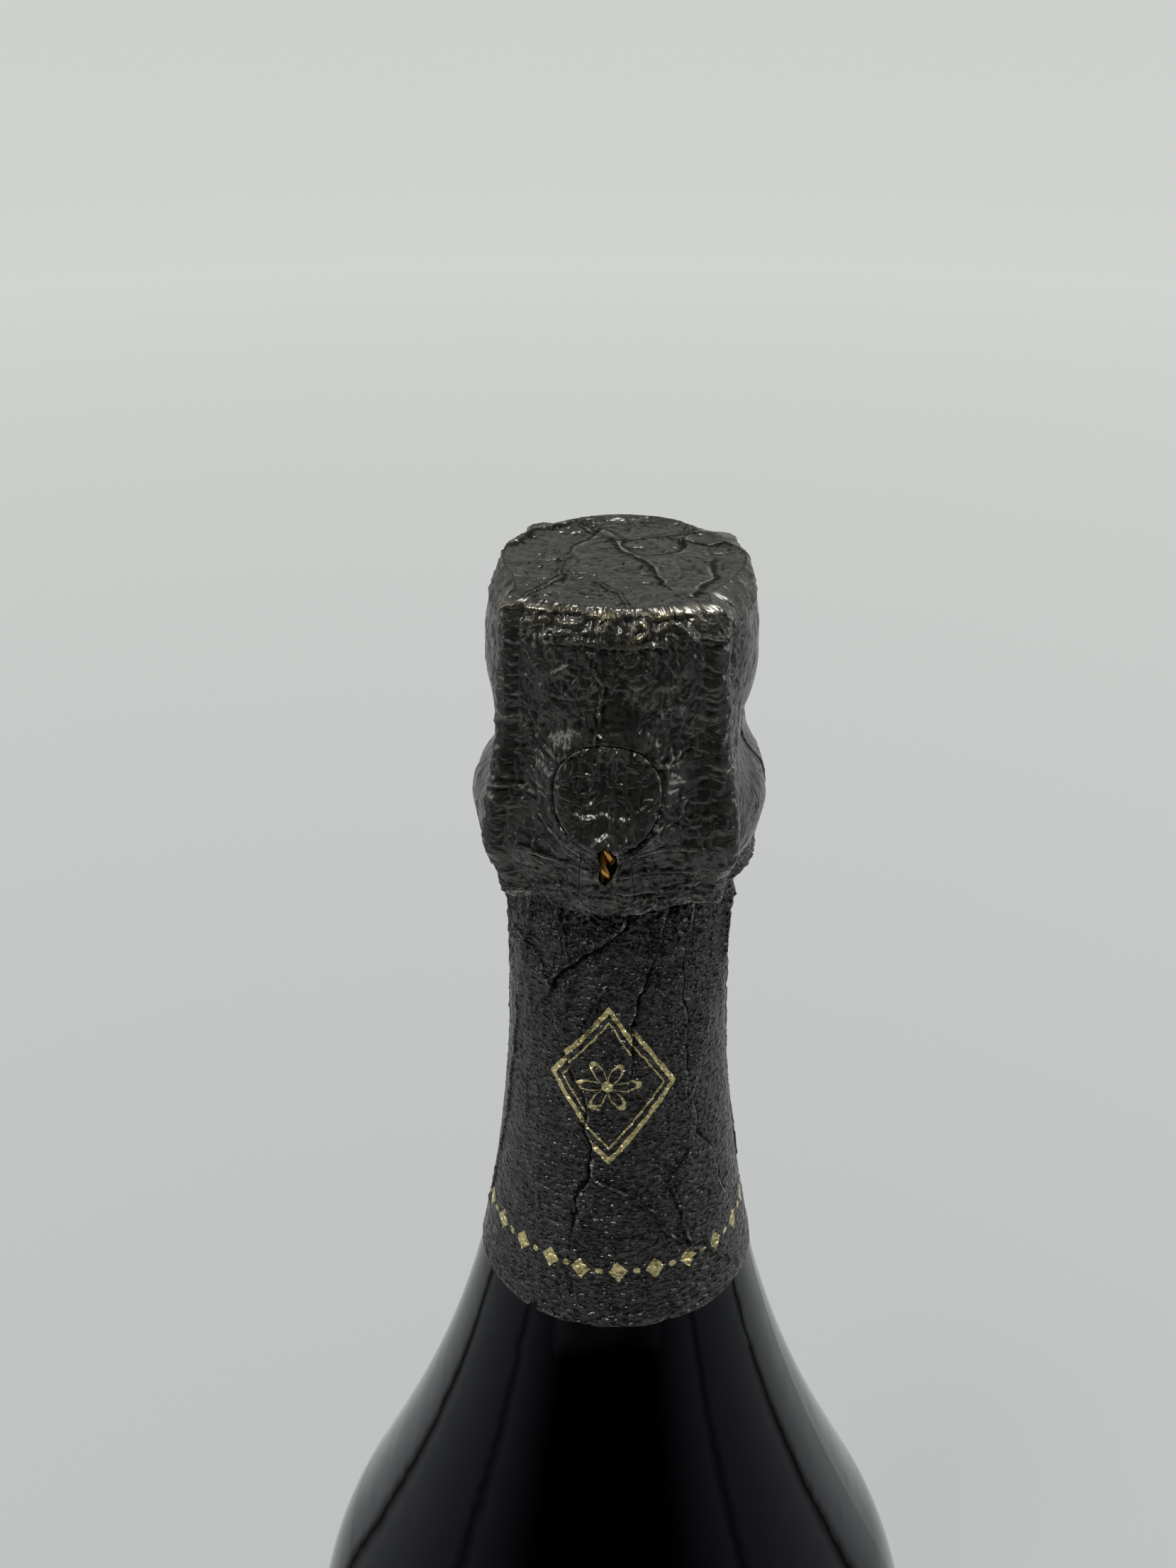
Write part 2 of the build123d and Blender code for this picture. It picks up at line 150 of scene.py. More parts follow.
# The cork: a mushroom head of pressed cork granules with two natural discs below.
# The granules are 2 to 3 mm across, each of its own tan, with dark glue between them.
granules_per_metre = 420.0
granules, tree, shader = surface("granulated_cork_pressed", Roughness=0.85)
place = add(tree, "ShaderNodeTexCoord").outputs["Object"]
bits = add(tree, "ShaderNodeTexVoronoi", {"Vector": place, "Scale": granules_per_metre})
shade = add(tree, "ShaderNodeSeparateColor", {"Color": bits.outputs["Color"]})
tone = add(
    tree, "ShaderNodeValToRGB", {"Fac": shade.outputs["Red"]}, stops=((0.0, "#7a5432"), (1.0, "#d2aa78"))
)
gaps = add(
    tree,
    "ShaderNodeTexVoronoi",
    {"Vector": place, "Scale": granules_per_metre},
    feature="DISTANCE_TO_EDGE",
)
joint = add(
    tree, "ShaderNodeMapRange", {"Value": gaps.outputs["Distance"], "From Max": 0.08, "To Min": 0.35}
)
darker = add(
    tree,
    "ShaderNodeMix",
    {"Factor": joint.outputs["Result"], "A": linear("#3b2616"), "B": tone.outputs["Color"]},
    data_type="RGBA",
)
tree.links.new(darker.outputs["Result"], shader.inputs["Base Color"])
bump = add(tree, "ShaderNodeBump", {"Height": joint.outputs["Result"], "Strength": 0.5, "Distance": 0.0002})
tree.links.new(bump.outputs["Normal"], shader.inputs["Normal"])
dress(["cork_body"], granules)

# Natural cork, punched from the bark: even tan with dark pores about a millimetre
# wide and 4 mm tall.
pores_per_metre = (900.0, 900.0, 260.0)
bark, tree, shader = surface("natural_cork_punched", Roughness=0.8)
place = add(tree, "ShaderNodeTexCoord").outputs["Object"]
grown = add(
    tree,
    "ShaderNodeMapping",
    {"Vector": place, "Scale": pores_per_metre},
)
pores = add(tree, "ShaderNodeTexNoise", {"Vector": grown.outputs["Vector"], "Scale": 1.0, "Detail": 4.0})
tone = add(
    tree, "ShaderNodeValToRGB", {"Fac": pores.outputs["Fac"]}, stops=((0.36, "#5c3b22"), (0.47, "#cda273"))
)
bump = add(tree, "ShaderNodeBump", {"Height": pores.outputs["Fac"], "Strength": 0.4, "Distance": 0.0002})
tree.links.new(tone.outputs["Color"], shader.inputs["Base Color"])
tree.links.new(bump.outputs["Normal"], shader.inputs["Normal"])
dress(["cork_disc_upper", "cork_disc_lower"], bark)


# The muselet plate: thin steel, pressed to a low crown and lacquered black, with a
# bronze rim where the lacquer stops. The wire of the cage holds its turned edge.
# The stops of its colours are distances from its middle, in metres.
black_lacquer, bare_bronze = "#1c1a17", "#a8843f"
plate_rings = (
    (0.0, black_lacquer), (0.0078, black_lacquer), (0.0080, bare_bronze),
    (0.0084, bare_bronze), (0.0086, black_lacquer), (0.0128, bare_bronze),
)
scuffs_per_metre = 900.0
lacquer, tree, shader = surface("steel_plate_lacquered", Metallic=0.3, Coat_Weight=0.4)
place = add(tree, "ShaderNodeTexCoord").outputs["Object"]
apart = add(tree, "ShaderNodeSeparateXYZ", {"Vector": place})
flat = add(tree, "ShaderNodeCombineXYZ", {"X": apart.outputs["X"], "Y": apart.outputs["Y"]})
reach = add(tree, "ShaderNodeVectorMath", {"Vector": flat.outputs["Vector"]}, operation="LENGTH")
tone = add(tree, "ShaderNodeValToRGB", {"Fac": reach.outputs["Value"]}, stops=plate_rings)
scuffs = add(tree, "ShaderNodeTexNoise", {"Vector": place, "Scale": scuffs_per_metre, "Detail": 5.0})
rough = add(tree, "ShaderNodeMapRange", {"Value": scuffs.outputs["Fac"], "To Min": 0.2, "To Max": 0.5})
bump = add(tree, "ShaderNodeBump", {"Height": scuffs.outputs["Fac"], "Strength": 0.15, "Distance": 0.0001})
tree.links.new(tone.outputs["Color"], shader.inputs["Base Color"])
tree.links.new(rough.outputs["Result"], shader.inputs["Roughness"])
tree.links.new(bump.outputs["Normal"], shader.inputs["Normal"])
dress(["muselet_plate"], lacquer)


# The muselet: annealed steel wire 1 mm thick, lacquered bronze, twisted in pairs down
# its legs, round the belt and up to the pull loop. Drawing leaves fine scores on it.
scores_per_metre = 700.0
wire, tree, shader = surface("steel_wire_bronzed", Metallic=1.0)
place = add(tree, "ShaderNodeTexCoord").outputs["Object"]
scores = add(
    tree,
    "ShaderNodeTexNoise",
    {"Vector": place, "Scale": scores_per_metre, "Detail": 6.0, "Roughness": 0.65},
)
tone = add(
    tree, "ShaderNodeValToRGB", {"Fac": scores.outputs["Fac"]}, stops=((0.3, "#a06c2c"), (0.62, "#e0b060"))
)
rough = add(tree, "ShaderNodeMapRange", {"Value": scores.outputs["Fac"], "To Min": 0.18, "To Max": 0.42})
bump = add(tree, "ShaderNodeBump", {"Height": scores.outputs["Fac"], "Strength": 0.3, "Distance": 0.00005})
tree.links.new(tone.outputs["Color"], shader.inputs["Base Color"])
tree.links.new(rough.outputs["Result"], shader.inputs["Roughness"])
tree.links.new(bump.outputs["Normal"], shader.inputs["Normal"])
dress(["cage_wire", "belt_wire", "wire_loop"], wire)


# The neck foil: black-bronze laminated foil, embossed with a fine pebble grain, rolled
# round the neck by soft brushes. Its slack is ironed into long flat folds and creases.
# Places on it are millimetres: across, round the neck from the loop's side, and up.
def unevenness(across, up, size, girth, seed, stretch=1.0):
    """Smooth random heights from -1 to 1 in lumps of a size, closed round a girth."""
    grid, first_row = 512, 40
    lumps = np.random.default_rng(seed).uniform(-1, 1, (grid, grid))
    columns = max(3, round(girth / size))
    a = across / girth * columns
    b = up / (size * stretch) + first_row
    i, j = np.floor(a).astype(int), np.floor(b).astype(int)
    s, t = a - i, b - j
    s, t = s * s * (3 - 2 * s), t * t * (3 - 2 * t)
    here, beside, lower, upper = i % columns, (i + 1) % columns, j % grid, (j + 1) % grid
    low = lumps[here, lower] * (1 - s) + lumps[beside, lower] * s
    high = lumps[here, upper] * (1 - s) + lumps[beside, upper] * s
    return low * (1 - t) + high * t


def wrinkles(across, up, size, girth, seed, stretch=1.0):
    """Sharp crests, 0 to 1, where two sheets of unevenness change sign."""
    bend = unevenness(across, up, size * 1.7, girth, seed + 1, stretch) * size * 0.5
    one = unevenness(across + bend, up + bend, size, girth, seed, stretch)
    two = unevenness(across - bend, up + bend, size * 0.6, girth, seed + 2, stretch)
    return (1 - np.abs(one)) ** 5 + 0.5 * (1 - np.abs(two)) ** 4


def creases(across, up, lines, radius):
    """Pinched folds along lines of (degrees, mm up), each with its height and width; a
    lapped one stays raised on its right hand for the distance it gives. Also where they
    get painted shadow, beside the laps and along the crests; where they are rubbed,
    which is wear and painted highlight along the laps' lips and the crests; and how
    much of the sheet the laps hide."""
    least_girth, hidden_by_lap, hiding_reach = 60, 0.9, 6
    # The shadow widths are for painted shadow; the rubbed lines are wear and painted highlight.
    lip_width, shadow_on_lap, shadow_beside_lap = 0.1, 0.14, 0.5
    rubbed_glint_from_lip, rubbed_glint_width, crest_width, crest_shadow = 0.28, 0.12, 0.14, 0.2
    girth = max(2 * math.pi * radius, least_girth)
    shaken = unevenness(across, up, 1.1, girth, 7) * 0.22
    across = across + unevenness(across, up, 2.6, girth, 8) * 0.5 + shaken
    height, dark, rubbed_and_glint, hidden = (np.zeros_like(across) for _ in range(4))
    for rise, width, lapped, *line in lines:
        nearest = np.full(across.shape, 1e9)
        hand = np.ones_like(across)
        for (angle0, up0), (angle1, up1) in zip(line, line[1:]):
            a0, a1 = math.radians(angle0) * radius, math.radians(angle1) * radius
            run, climb = a1 - a0, up1 - up0
            share = ((across - a0) * run + (up - up0) * climb) / (run * run + climb * climb)
            share = np.clip(share, 0, 1)
            off_a, off_b = across - a0 - share * run, up - up0 - share * climb
            distance = np.hypot(off_a, off_b)
            closer = distance < nearest
            nearest = np.where(closer, distance, nearest)
            hand = np.where(closer, np.sign(run * off_b - climb * off_a), hand)
        if lapped:
            over = hand > 0
            shadow = np.where(over, shadow_on_lap, shadow_beside_lap)
            height += rise * over * (1 - np.exp(-nearest / lip_width)) * np.exp(-nearest / lapped)
            dark = np.maximum(dark, np.exp(-((nearest / shadow) ** 2)))
            rubbed_and_glint = np.maximum(rubbed_and_glint, over * np.exp(-(((nearest - rubbed_glint_from_lip) / rubbed_glint_width) ** 2)))
            hidden += hidden_by_lap * over * np.exp(-nearest / hiding_reach)
        else:
            height += rise * np.exp(-((nearest / width) ** 1.3))
            dark = np.maximum(dark, 0.6 * np.exp(-(((nearest - width) / crest_shadow) ** 2)))
            rubbed_and_glint = np.maximum(rubbed_and_glint, 0.8 * np.exp(-((nearest / crest_width) ** 2)))
    return height, dark, rubbed_and_glint, hidden


def proud(relief, span=3):
    """How far each place stands above the foil round it."""
    around = sum(np.roll(relief, shift, 1) for shift in range(-span, span + 1))
    tall = np.pad(around, ((span, span), (0, 0)), mode="edge")
    total = sum(tall[shift : shift + len(relief)] for shift in range(2 * span + 1))
    return relief - total / (2 * span + 1) ** 2


foil_thickness = 0.08


def foil_piece(name, finish, places, sheet, marks, body, node, closed, keep=None):
    """A sheet of foil from rows of places, closed round the bottle or open, with its
    thickness, its own flat places for the patterns, and its marks: wear with painted
    highlights and glints, and painted shade."""
    rows, columns = places.shape[:2]
    index = np.arange(rows * columns).reshape(rows, columns)
    right = np.roll(index, -1, axis=1) if closed else index[:, 1:]
    left = index if closed else index[:, :-1]
    quads = np.stack([left[:-1], right[:-1], right[1:], left[1:]], axis=-1).reshape(-1, 4)
    if keep is not None:
        quads = quads[keep.reshape(-1)[quads].all(axis=1)]
    used = np.unique(quads)
    renumber = np.full(rows * columns, -1)
    renumber[used] = np.arange(len(used))
    mesh = bpy.data.meshes.new(name)
    mesh.from_pydata((places.reshape(-1, 3)[used] / 1000).tolist(), [], renumber[quads].tolist())
    for label, values in marks.items():
        mesh.attributes.new(label, "FLOAT", "POINT").data.foreach_set(
            "value", np.clip(values, 0, 1).reshape(-1)[used].astype(np.float32)
        )
    mesh.attributes.new("sheet", "FLOAT_VECTOR", "POINT").data.foreach_set(
        "vector", sheet.reshape(-1, 3)[used].astype(np.float32).reshape(-1)
    )
    mesh.shade_smooth()
    made = bpy.data.objects.new(name, mesh)
    bpy.context.scene.collection.objects.link(made)
    shell = made.modifiers.new("thickness", "SOLIDIFY")
    shell.thickness = foil_thickness / 1000
    shell.offset = -1.0
    mesh.materials.append(finish)
    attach(made, body)
    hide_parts(node)


def foil_finish(name, printed, shades, embossed, crinkled, dimple_shade):
    """Laminated foil: a dark bronze lacquer over aluminium, embossed with a net of
    ridges round dimples about 0.8 mm across, and crinkled in facets 2 mm wide. Crests
    wear to silver and pale gold, and the same marks paint highlights and gold glints
    on them; the print is dull gold. The hollows and the dimples' floors get painted
    shade: darker, with their specular taken away. Its patterns lie on the flat sheet, in millimetres."""
    cloud_size, bend_size, facet_size, grain_size, fleck_size = 2.857, 0.909, 2.222, 0.3846, 0.25
    dimple_width, dimple_height = 1.0, 0.606
    made, tree, shader = surface(name, Metallic=0.55, IOR=1.5)
    sheet = add(tree, "ShaderNodeAttribute", attribute_name="sheet").outputs["Vector"]
    wear_and_glint = add(tree, "ShaderNodeAttribute", attribute_name="wear_and_glint").outputs["Fac"]
    gilt_and_glint = add(tree, "ShaderNodeAttribute", attribute_name="gilt_and_glint").outputs["Fac"]
    painted_shade = add(tree, "ShaderNodeAttribute", attribute_name="painted_shade").outputs["Fac"]
    cloud = add(tree, "ShaderNodeTexNoise", {"Vector": sheet, "Scale": 1 / cloud_size, "Detail": 4.0})
    base = add(
        tree, "ShaderNodeValToRGB", {"Fac": cloud.outputs["Fac"]}, stops=((0.35, shades[0]), (0.7, shades[1]))
    )
    bend = add(tree, "ShaderNodeTexNoise", {"Vector": sheet, "Scale": 1 / bend_size, "Detail": 2.0})
    bent = add(
        tree,
        "ShaderNodeVectorMath",
        {0: bend.outputs["Color"], 1: (0.9, 0.6, 0.0), 2: sheet},
        operation="MULTIPLY_ADD",
    )
    pebbled = add(
        tree,
        "ShaderNodeMapping",
        {
            "Vector": bent.outputs["Vector"],
            "Rotation": (0, 0, 0.2),
            "Scale": (1 / dimple_width, 1 / dimple_height, 1.0),
        },
    )
    pebbles = add(
        tree,
        "ShaderNodeTexVoronoi",
        {"Vector": pebbled.outputs["Vector"], "Scale": 1.0, "Smoothness": 0.3},
        feature="SMOOTH_F1",
    )
    facets = add(
        tree,
        "ShaderNodeTexNoise",
        {"Vector": sheet, "Scale": 1 / facet_size, "Detail": 1.7, "Roughness": 0.5, "Distortion": 1.0},
    )
    grain = add(
        tree,
        "ShaderNodeTexNoise",
        {"Vector": sheet, "Scale": 1 / grain_size, "Detail": 5.0, "Roughness": 0.6},
    )
    ridges = add(
        tree, "ShaderNodeMath", {0: pebbles.outputs["Distance"], 1: embossed}, operation="MULTIPLY"
    )
    on_top = add(tree, "ShaderNodeSeparateXYZ", {"Vector": sheet})
    calm = add(
        tree,
        "ShaderNodeMapRange",
        {"Value": on_top.outputs["Z"], "To Min": crinkled, "To Max": 0.45 * crinkled},
    )
    relief = add(
        tree,
        "ShaderNodeMath",
        {0: facets.outputs["Fac"], 1: calm.outputs["Result"], 2: ridges.outputs["Value"]},
        operation="MULTIPLY_ADD",
    )
    bump = add(
        tree, "ShaderNodeBump", {"Height": relief.outputs["Value"], "Strength": 1.0, "Distance": 0.001}
    )
    flecks = add(
        tree,
        "ShaderNodeTexNoise",
        {"Vector": sheet, "Scale": 1 / fleck_size, "Detail": 6.0, "Roughness": 0.7},
    )
    spotty = add(
        tree, "ShaderNodeMapRange", {"Value": flecks.outputs["Fac"], "From Min": 0.42, "From Max": 0.62}
    )
    # Silver and pale gold on worn crests and rubbed lines: wear, and painted highlights and gold glints.
    bare_and_glint = add(
        tree, "ShaderNodeMath", {0: wear_and_glint, 1: spotty.outputs["Result"]}, operation="MULTIPLY", use_clamp=True
    )
    gold_wear_and_glint = add(
        tree, "ShaderNodeMath", {0: gilt_and_glint, 1: spotty.outputs["Result"]}, operation="MULTIPLY", use_clamp=True
    )
    rubbed_and_glint = add(
        tree,
        "ShaderNodeMix",
        {"Factor": gold_wear_and_glint.outputs["Value"], "A": base.outputs["Color"], "B": linear("#94814b")},
        data_type="RGBA",
    )
    silver_wear_and_glint = add(
        tree,
        "ShaderNodeMix",
        {"Factor": bare_and_glint.outputs["Value"], "A": rubbed_and_glint.outputs["Result"], "B": linear("#aaa9a1")},
        data_type="RGBA",
    )
    colour = silver_wear_and_glint.outputs["Result"]
    if printed:
        ink = add(
            tree, "ShaderNodeMapRange", {"Value": flecks.outputs["Fac"], "From Min": 0.36, "From Max": 0.44}
        )
        shown = add(
            tree, "ShaderNodeMath", {0: ornament(tree, sheet), 1: ink.outputs["Result"]}, operation="MULTIPLY"
        )
        gold = add(
            tree,
            "ShaderNodeMix",
            {"Factor": shown.outputs["Value"], "A": colour, "B": linear("#dccd92")},
            data_type="RGBA",
        )
        colour = gold.outputs["Result"]
    rough = add(tree, "ShaderNodeMapRange", {"Value": grain.outputs["Fac"], "To Min": 0.16, "To Max": 0.34})
    # Painted shade in the embossing: the dimples' floors are darkened.
    valley = add(
        tree,
        "ShaderNodeMapRange",
        {
            "Value": pebbles.outputs["Distance"],
            "From Min": 0.15,
            "From Max": 0.45,
            "To Min": dimple_shade,
            "To Max": 0.0,
        },
    )
    # Painted shade: the hollows and the dimples' floors are mixed towards near-black and lose their specular.
    deep = add(
        tree, "ShaderNodeMath", {0: painted_shade, 1: valley.outputs["Result"]}, operation="MAXIMUM", use_clamp=True
    )
    deepest = 0.85
    deep = add(tree, "ShaderNodeMath", {0: deep.outputs["Value"], 1: deepest}, operation="MULTIPLY")
    painted_shade_colour = add(
        tree,
        "ShaderNodeMix",
        {"Factor": deep.outputs["Value"], "A": colour, "B": linear("#050505")},
        data_type="RGBA",
    )
    shine = add(
        tree,
        "ShaderNodeMapRange",
        {"Value": deep.outputs["Value"], "From Max": deepest, "To Min": 0.76, "To Max": 0.0},
    )
    tree.links.new(painted_shade_colour.outputs["Result"], shader.inputs["Base Color"])
    tree.links.new(shine.outputs["Result"], shader.inputs["Specular IOR Level"])
    tree.links.new(rough.outputs["Result"], shader.inputs["Roughness"])
    tree.links.new(bump.outputs["Normal"], shader.inputs["Normal"])
    return made


def ornament(tree, sheet):
    """The gold print: a lozenge of two lines round a six-petal flower, over a row of
    small lozenges and dots that runs round the foil near its hem. All in millimetres."""
    lozenge_across, lozenge_up, half_width, half_height = 1.4, 244.0, 8.4, 11.0
    outer_line, inner_line, inner_share = 0.05, 0.019, 0.83
    petals, petal_length, petal_line, heart_radius = 6, 3.6, 0.34, 0.75
    row_up, spacing, small_width, small_height, dot_radius = 216.3, 4.09, 1.05, 1.5, 0.42
    waver = add(tree, "ShaderNodeTexNoise", {"Vector": sheet, "Scale": 0.8, "Detail": 3.0})
    moved = add(
        tree,
        "ShaderNodeVectorMath",
        {0: waver.outputs["Color"], 1: (0.5, 0.5, 0.5), 2: sheet},
        operation="MULTIPLY_ADD",
    )
    apart = add(tree, "ShaderNodeSeparateXYZ", {"Vector": moved.outputs["Vector"]})

    def worked(operation, *values):
        made = add(tree, "ShaderNodeMath", dict(enumerate(values)), operation=operation)
        return made.outputs["Value"]

    def size_of(value):
        return worked("ABSOLUTE", value)

    def distance(one, two):
        squares = worked("ADD", worked("POWER", one, 2.0), worked("POWER", two, 2.0))
        return worked("SQRT", squares)

    def lozenge(one, two, width, height):
        """One on the edge of a lozenge, less inside it."""
        return worked("ADD", worked("DIVIDE", size_of(one), width), worked("DIVIDE", size_of(two), height))

    def inside(value, limit):
        return worked("LESS_THAN", value, limit)

    across = worked("ADD", apart.outputs["X"], -lozenge_across)
    up = worked("ADD", apart.outputs["Y"], -lozenge_up)
    edge = lozenge(across, up, half_width, half_height)
    outer = inside(size_of(worked("ADD", edge, -1.0)), outer_line)
    inner = inside(size_of(worked("ADD", edge, -inner_share)), inner_line)
    reach = distance(across, up)
    wave = worked("COSINE", worked("MULTIPLY", worked("ARCTAN2", up, across), petals / 2))
    petal = worked("MULTIPLY", size_of(wave), petal_length)
    flower = inside(size_of(worked("SUBTRACT", reach, petal)), petal_line)
    heart = inside(reach, heart_radius)
    row = worked("ADD", apart.outputs["Y"], -row_up)
    share = worked("FRACT", worked("DIVIDE", apart.outputs["X"], spacing))
    step = worked("ADD", worked("MULTIPLY", share, spacing), -spacing / 2)
    small = inside(lozenge(step, row, small_width, small_height), 1.0)
    aside = worked("SUBTRACT", spacing / 2, size_of(step))
    dot = inside(distance(aside, row), dot_radius)
    total = worked("MAXIMUM", outer, inner)
    for shape in (flower, heart, small, dot):
        total = worked("MAXIMUM", total, shape)
    return total


# The neck foil's own sizes, in millimetres and degrees from the loop's side: the level
# of its hem and of its torn upper edge, and a nick in the hem, cut higher towards its right.
neck_girth_radius = 14.5
girth = 2 * math.pi * neck_girth_radius
hem_level, torn_level = 207.6, 269.5
nick_from, nick_to, nick_slant, nick_height = -34, -29, 4.5, 1.3
turns = np.linspace(-math.pi, math.pi, 760, endpoint=False)[None, :]
shares = np.linspace(0, 1, 400)[:, None]
round_neck = turns * neck_girth_radius
hem = hem_level + 0.25 * np.sin(3 * turns + 0.6) + 0.2 * unevenness(round_neck, 0 * turns, 2.2, girth, 5)
nick = np.clip((np.degrees(turns) - nick_from) / nick_slant, 0, 1) * (np.degrees(turns) < nick_to)
hem = hem + nick_height * nick
foil_edge = torn_level + 0.2 * unevenness(round_neck, 0 * turns, 1.5, girth, 6)
up = hem + (foil_edge - hem) * shares
across = round_neck + 0 * up

# The outline of the neck in the photograph, as level and radius every 7 mm. The foil's
# outer face lies a little inside it, so that its creases come up to it.
neck_line = np.array([
    (191.9, 22.41), (198.6, 20.53), (205.3, 18.885), (212.1, 17.474), (219.0, 16.294), (225.8, 15.336),
    (232.7, 14.591), (239.6, 14.046), (246.6, 13.69), (253.5, 13.51), (262.0, 13.42), (267.5, 13.3),
    (269.8, 12.98),
])
below_line, line_step, line_margin, smoothed_over = 0.2, 0.5, 10, 9
line_levels = np.arange(190, 272, line_step)
wider_levels = np.arange(190 - line_margin, 272 + line_margin, line_step)
trim = round(line_margin / line_step)
smoothing = np.ones(smoothed_over) / smoothed_over
smooth_line = np.convolve(np.interp(wider_levels, *neck_line.T), smoothing, "same")[trim:-trim]
neck_reach = np.interp(up, line_levels, smooth_line) - below_line

# Each fold: its height and width, how far its lap stays raised, or 0 where it is only a
# crease, and its line in degrees and millimetres up. The last seven are at the back.
neck_folds = [
    (
        0.3, 0.5, 5.0, (-30, 253), (-25.5, 248.1), (-17.2, 245), (-11.6, 240.8), (-9, 236.8), (-6.9, 232.4),
        (-7.1, 230.5), (-13, 227.2), (-14.6, 222),
    ),
    (0.28, 0.5, 4.0, (12.5, 247.8), (13.1, 252.4), (15, 256.5), (19.9, 260.3), (25.7, 264.5), (30, 269.5)),
    (0.28, 0.5, 5.0, (41.4, 244), (41.5, 250.6), (38.6, 254.2), (37.4, 258.4), (40.3, 262.1), (48, 268)),
    (
        0.32, 0.5, 6.0, (66, 222), (62, 226.2), (58.4, 230), (48.4, 233.7), (46.2, 238.7), (49.8, 241.7),
        (53.9, 243.7), (58.6, 249.8), (66.8, 254.9), (84.9, 263),
    ),
    (0.16, 0.3, 0, (40.7, 231.6), (36.2, 229.6), (31.2, 228), (36.1, 224.4), (37.7, 221.3), (39.9, 217.5)),
    (
        0.16, 0.3, 0, (-4.2, 229.4), (6.7, 227.9), (15.4, 226.7), (22.9, 223.9), (26.7, 221.1), (36.1, 218),
        (50.1, 215.7), (62.7, 210.6),
    ),
    (0.3, 0.4, 4.0, (-29.1, 256.4), (-22.2, 259.1), (-17.6, 260.2), (-5.8, 262.7), (5.4, 265.3), (18, 269.5)),
    (0.2, 0.35, 0, (-25.5, 269), (-25.5, 265.9), (-20.8, 263.5), (-18.4, 260.5)),
    (0.2, 0.35, 0, (-75, 266), (-69.2, 260.6), (-50, 260.5), (-34.6, 258.3), (-29.9, 256)),
    (0.18, 0.3, 0, (-2, 258), (-8, 253.5), (-14, 249)),
    (0.15, 0.3, 0, (-62, 250), (-66, 238), (-74, 226), (-80, 214)),
    (0.3, 0.5, 5.0, (178, 207), (178.5, 240), (178, 269.5)),
    (0.28, 0.5, 5.0, (118, 269), (112, 255), (120, 238), (114, 224), (122, 207)),
    (0.28, 0.5, 5.0, (-120, 207), (-112, 222), (-121, 236), (-110, 252), (-118, 269)),
    (0.2, 0.3, 0, (140, 269), (150, 250), (143, 232), (155, 214)),
    (0.2, 0.3, 0, (-150, 269), (-142, 247), (-153, 228), (-146, 212)),
    (0.16, 0.3, 0, (95, 248), (104, 236), (98, 221)),
    (0.16, 0.3, 0, (-100, 262), (-92, 247), (-99, 230)),
]
folded, dark, rubbed_and_glint, hidden = creases(across, up, neck_folds, neck_girth_radius)

# Crumples are gathered towards the belt, and pressed flat at the torn edge by the ring.
gathered = np.clip((up - 246) / 24, 0, 1)
crumple = wrinkles(across, up, 3.4, girth, 11, 2.2) * (0.1 + 0.6 * gathered)
crumple += wrinkles(across, up, 1.5, girth, 21, 1.8) * (0.06 + 0.2 * gathered)
crumple += unevenness(across, up, 6.0, girth, 31, 2.5) * 0.14
crumple += unevenness(across, up, 0.7, girth, 33, 0.6) * 0.06
relief = (folded * 2.2 + crumple) * (1 - 0.7 * np.clip((up - 265.5) / 2.5, 0, 1))
rough_patch = np.clip(unevenness(across, up, 5.0, girth, 41) * 1.5, 0, 1)
broken = np.clip(unevenness(across, up, 0.9, girth, 43) * 2.5 + 0.1, 0, 1)
stands = proud(relief)
# Silver where crests stand proud, along the rubbed fold lines and at the hem: wear and painted highlight.
wear_and_glint = np.clip((stands - 0.04) * 18, 0, 1) * rough_patch * broken
wear_and_glint += 2.0 * rubbed_and_glint * broken * np.clip(unevenness(across, up, 4.0, girth, 45) * 2 + 0.6, 0, 1)
wear_and_glint += 0.9 * np.exp(-(up - hem) / 0.25) * np.clip(unevenness(across, up, 3, girth, 51) * 2, 0, 1)
# Painted shade: the folds' shadows and the sunken places are darkened, less where the crumples gather, and a
# band of painted shadow lies just under the hood's hem.
painted_shade = dark + np.clip((-stands - 0.015) * 14, 0, 0.7) * (1 - 0.6 * gathered)
painted_shade = painted_shade + 0.7 * np.clip((up - 266.8) / 1.6, 0, 1)
relief_share = 0.8
reach = neck_reach + relief * relief_share
places = np.stack([reach * np.sin(turns), -reach * np.cos(turns), up], axis=-1)
printed_foil = foil_finish(
    "bronze_foil_embossed_printed",
    printed=True,
    shades=("#232322", "#393835"),
    embossed=0.6,
    crinkled=0.5,
    dimple_shade=0.85,
)
foil_piece(
    "foil_neck_sheet",
    printed_foil,
    places,
    np.stack([across + hidden, up + 0.3 * hidden, 0 * up], axis=-1),
    {"wear_and_glint": wear_and_glint, "gilt_and_glint": 0 * up, "painted_shade": painted_shade},
    body="bottle",
    node="foil_neck",
    closed=True,
)


# The hood: the same sheet, drawn down over the plate, the wires, the lip and the ring.
# It tents between the cage's four legs, and is torn free round the pull loop.
# Its rows: level, radius in the middle between two legs, and radius over a leg.
hood_rows = np.array([
    (306.0, 14.4, 15.7), (304.97, 14.4, 15.7), (303.6, 14.5, 16.5), (300.8, 14.75, 16.6),
    (298.15, 15.2, 16.9), (294.4, 15.2, 17.1), (291.5, 14.4, 17.1), (288.5, 13.7, 17.5),
    (286.0, 13.6, 18.1), (283.8, 13.7, 18.5), (281.73, 14.7, 19.1), (279.9, 16.5, 19.3),
    (277.4, 17.1, 19.5), (276.0, 16.9, 19.4), (274.9, 16.5, 19.1), (273.5, 15.9, 18.3),
    (272.0, 15.9, 17.6), (270.4, 15.95, 17.0), (268.7, 15.85, 16.6), (267.0, 15.8, 16.6),
])[::-1]
fine_level = np.arange(262, 310, 0.1)
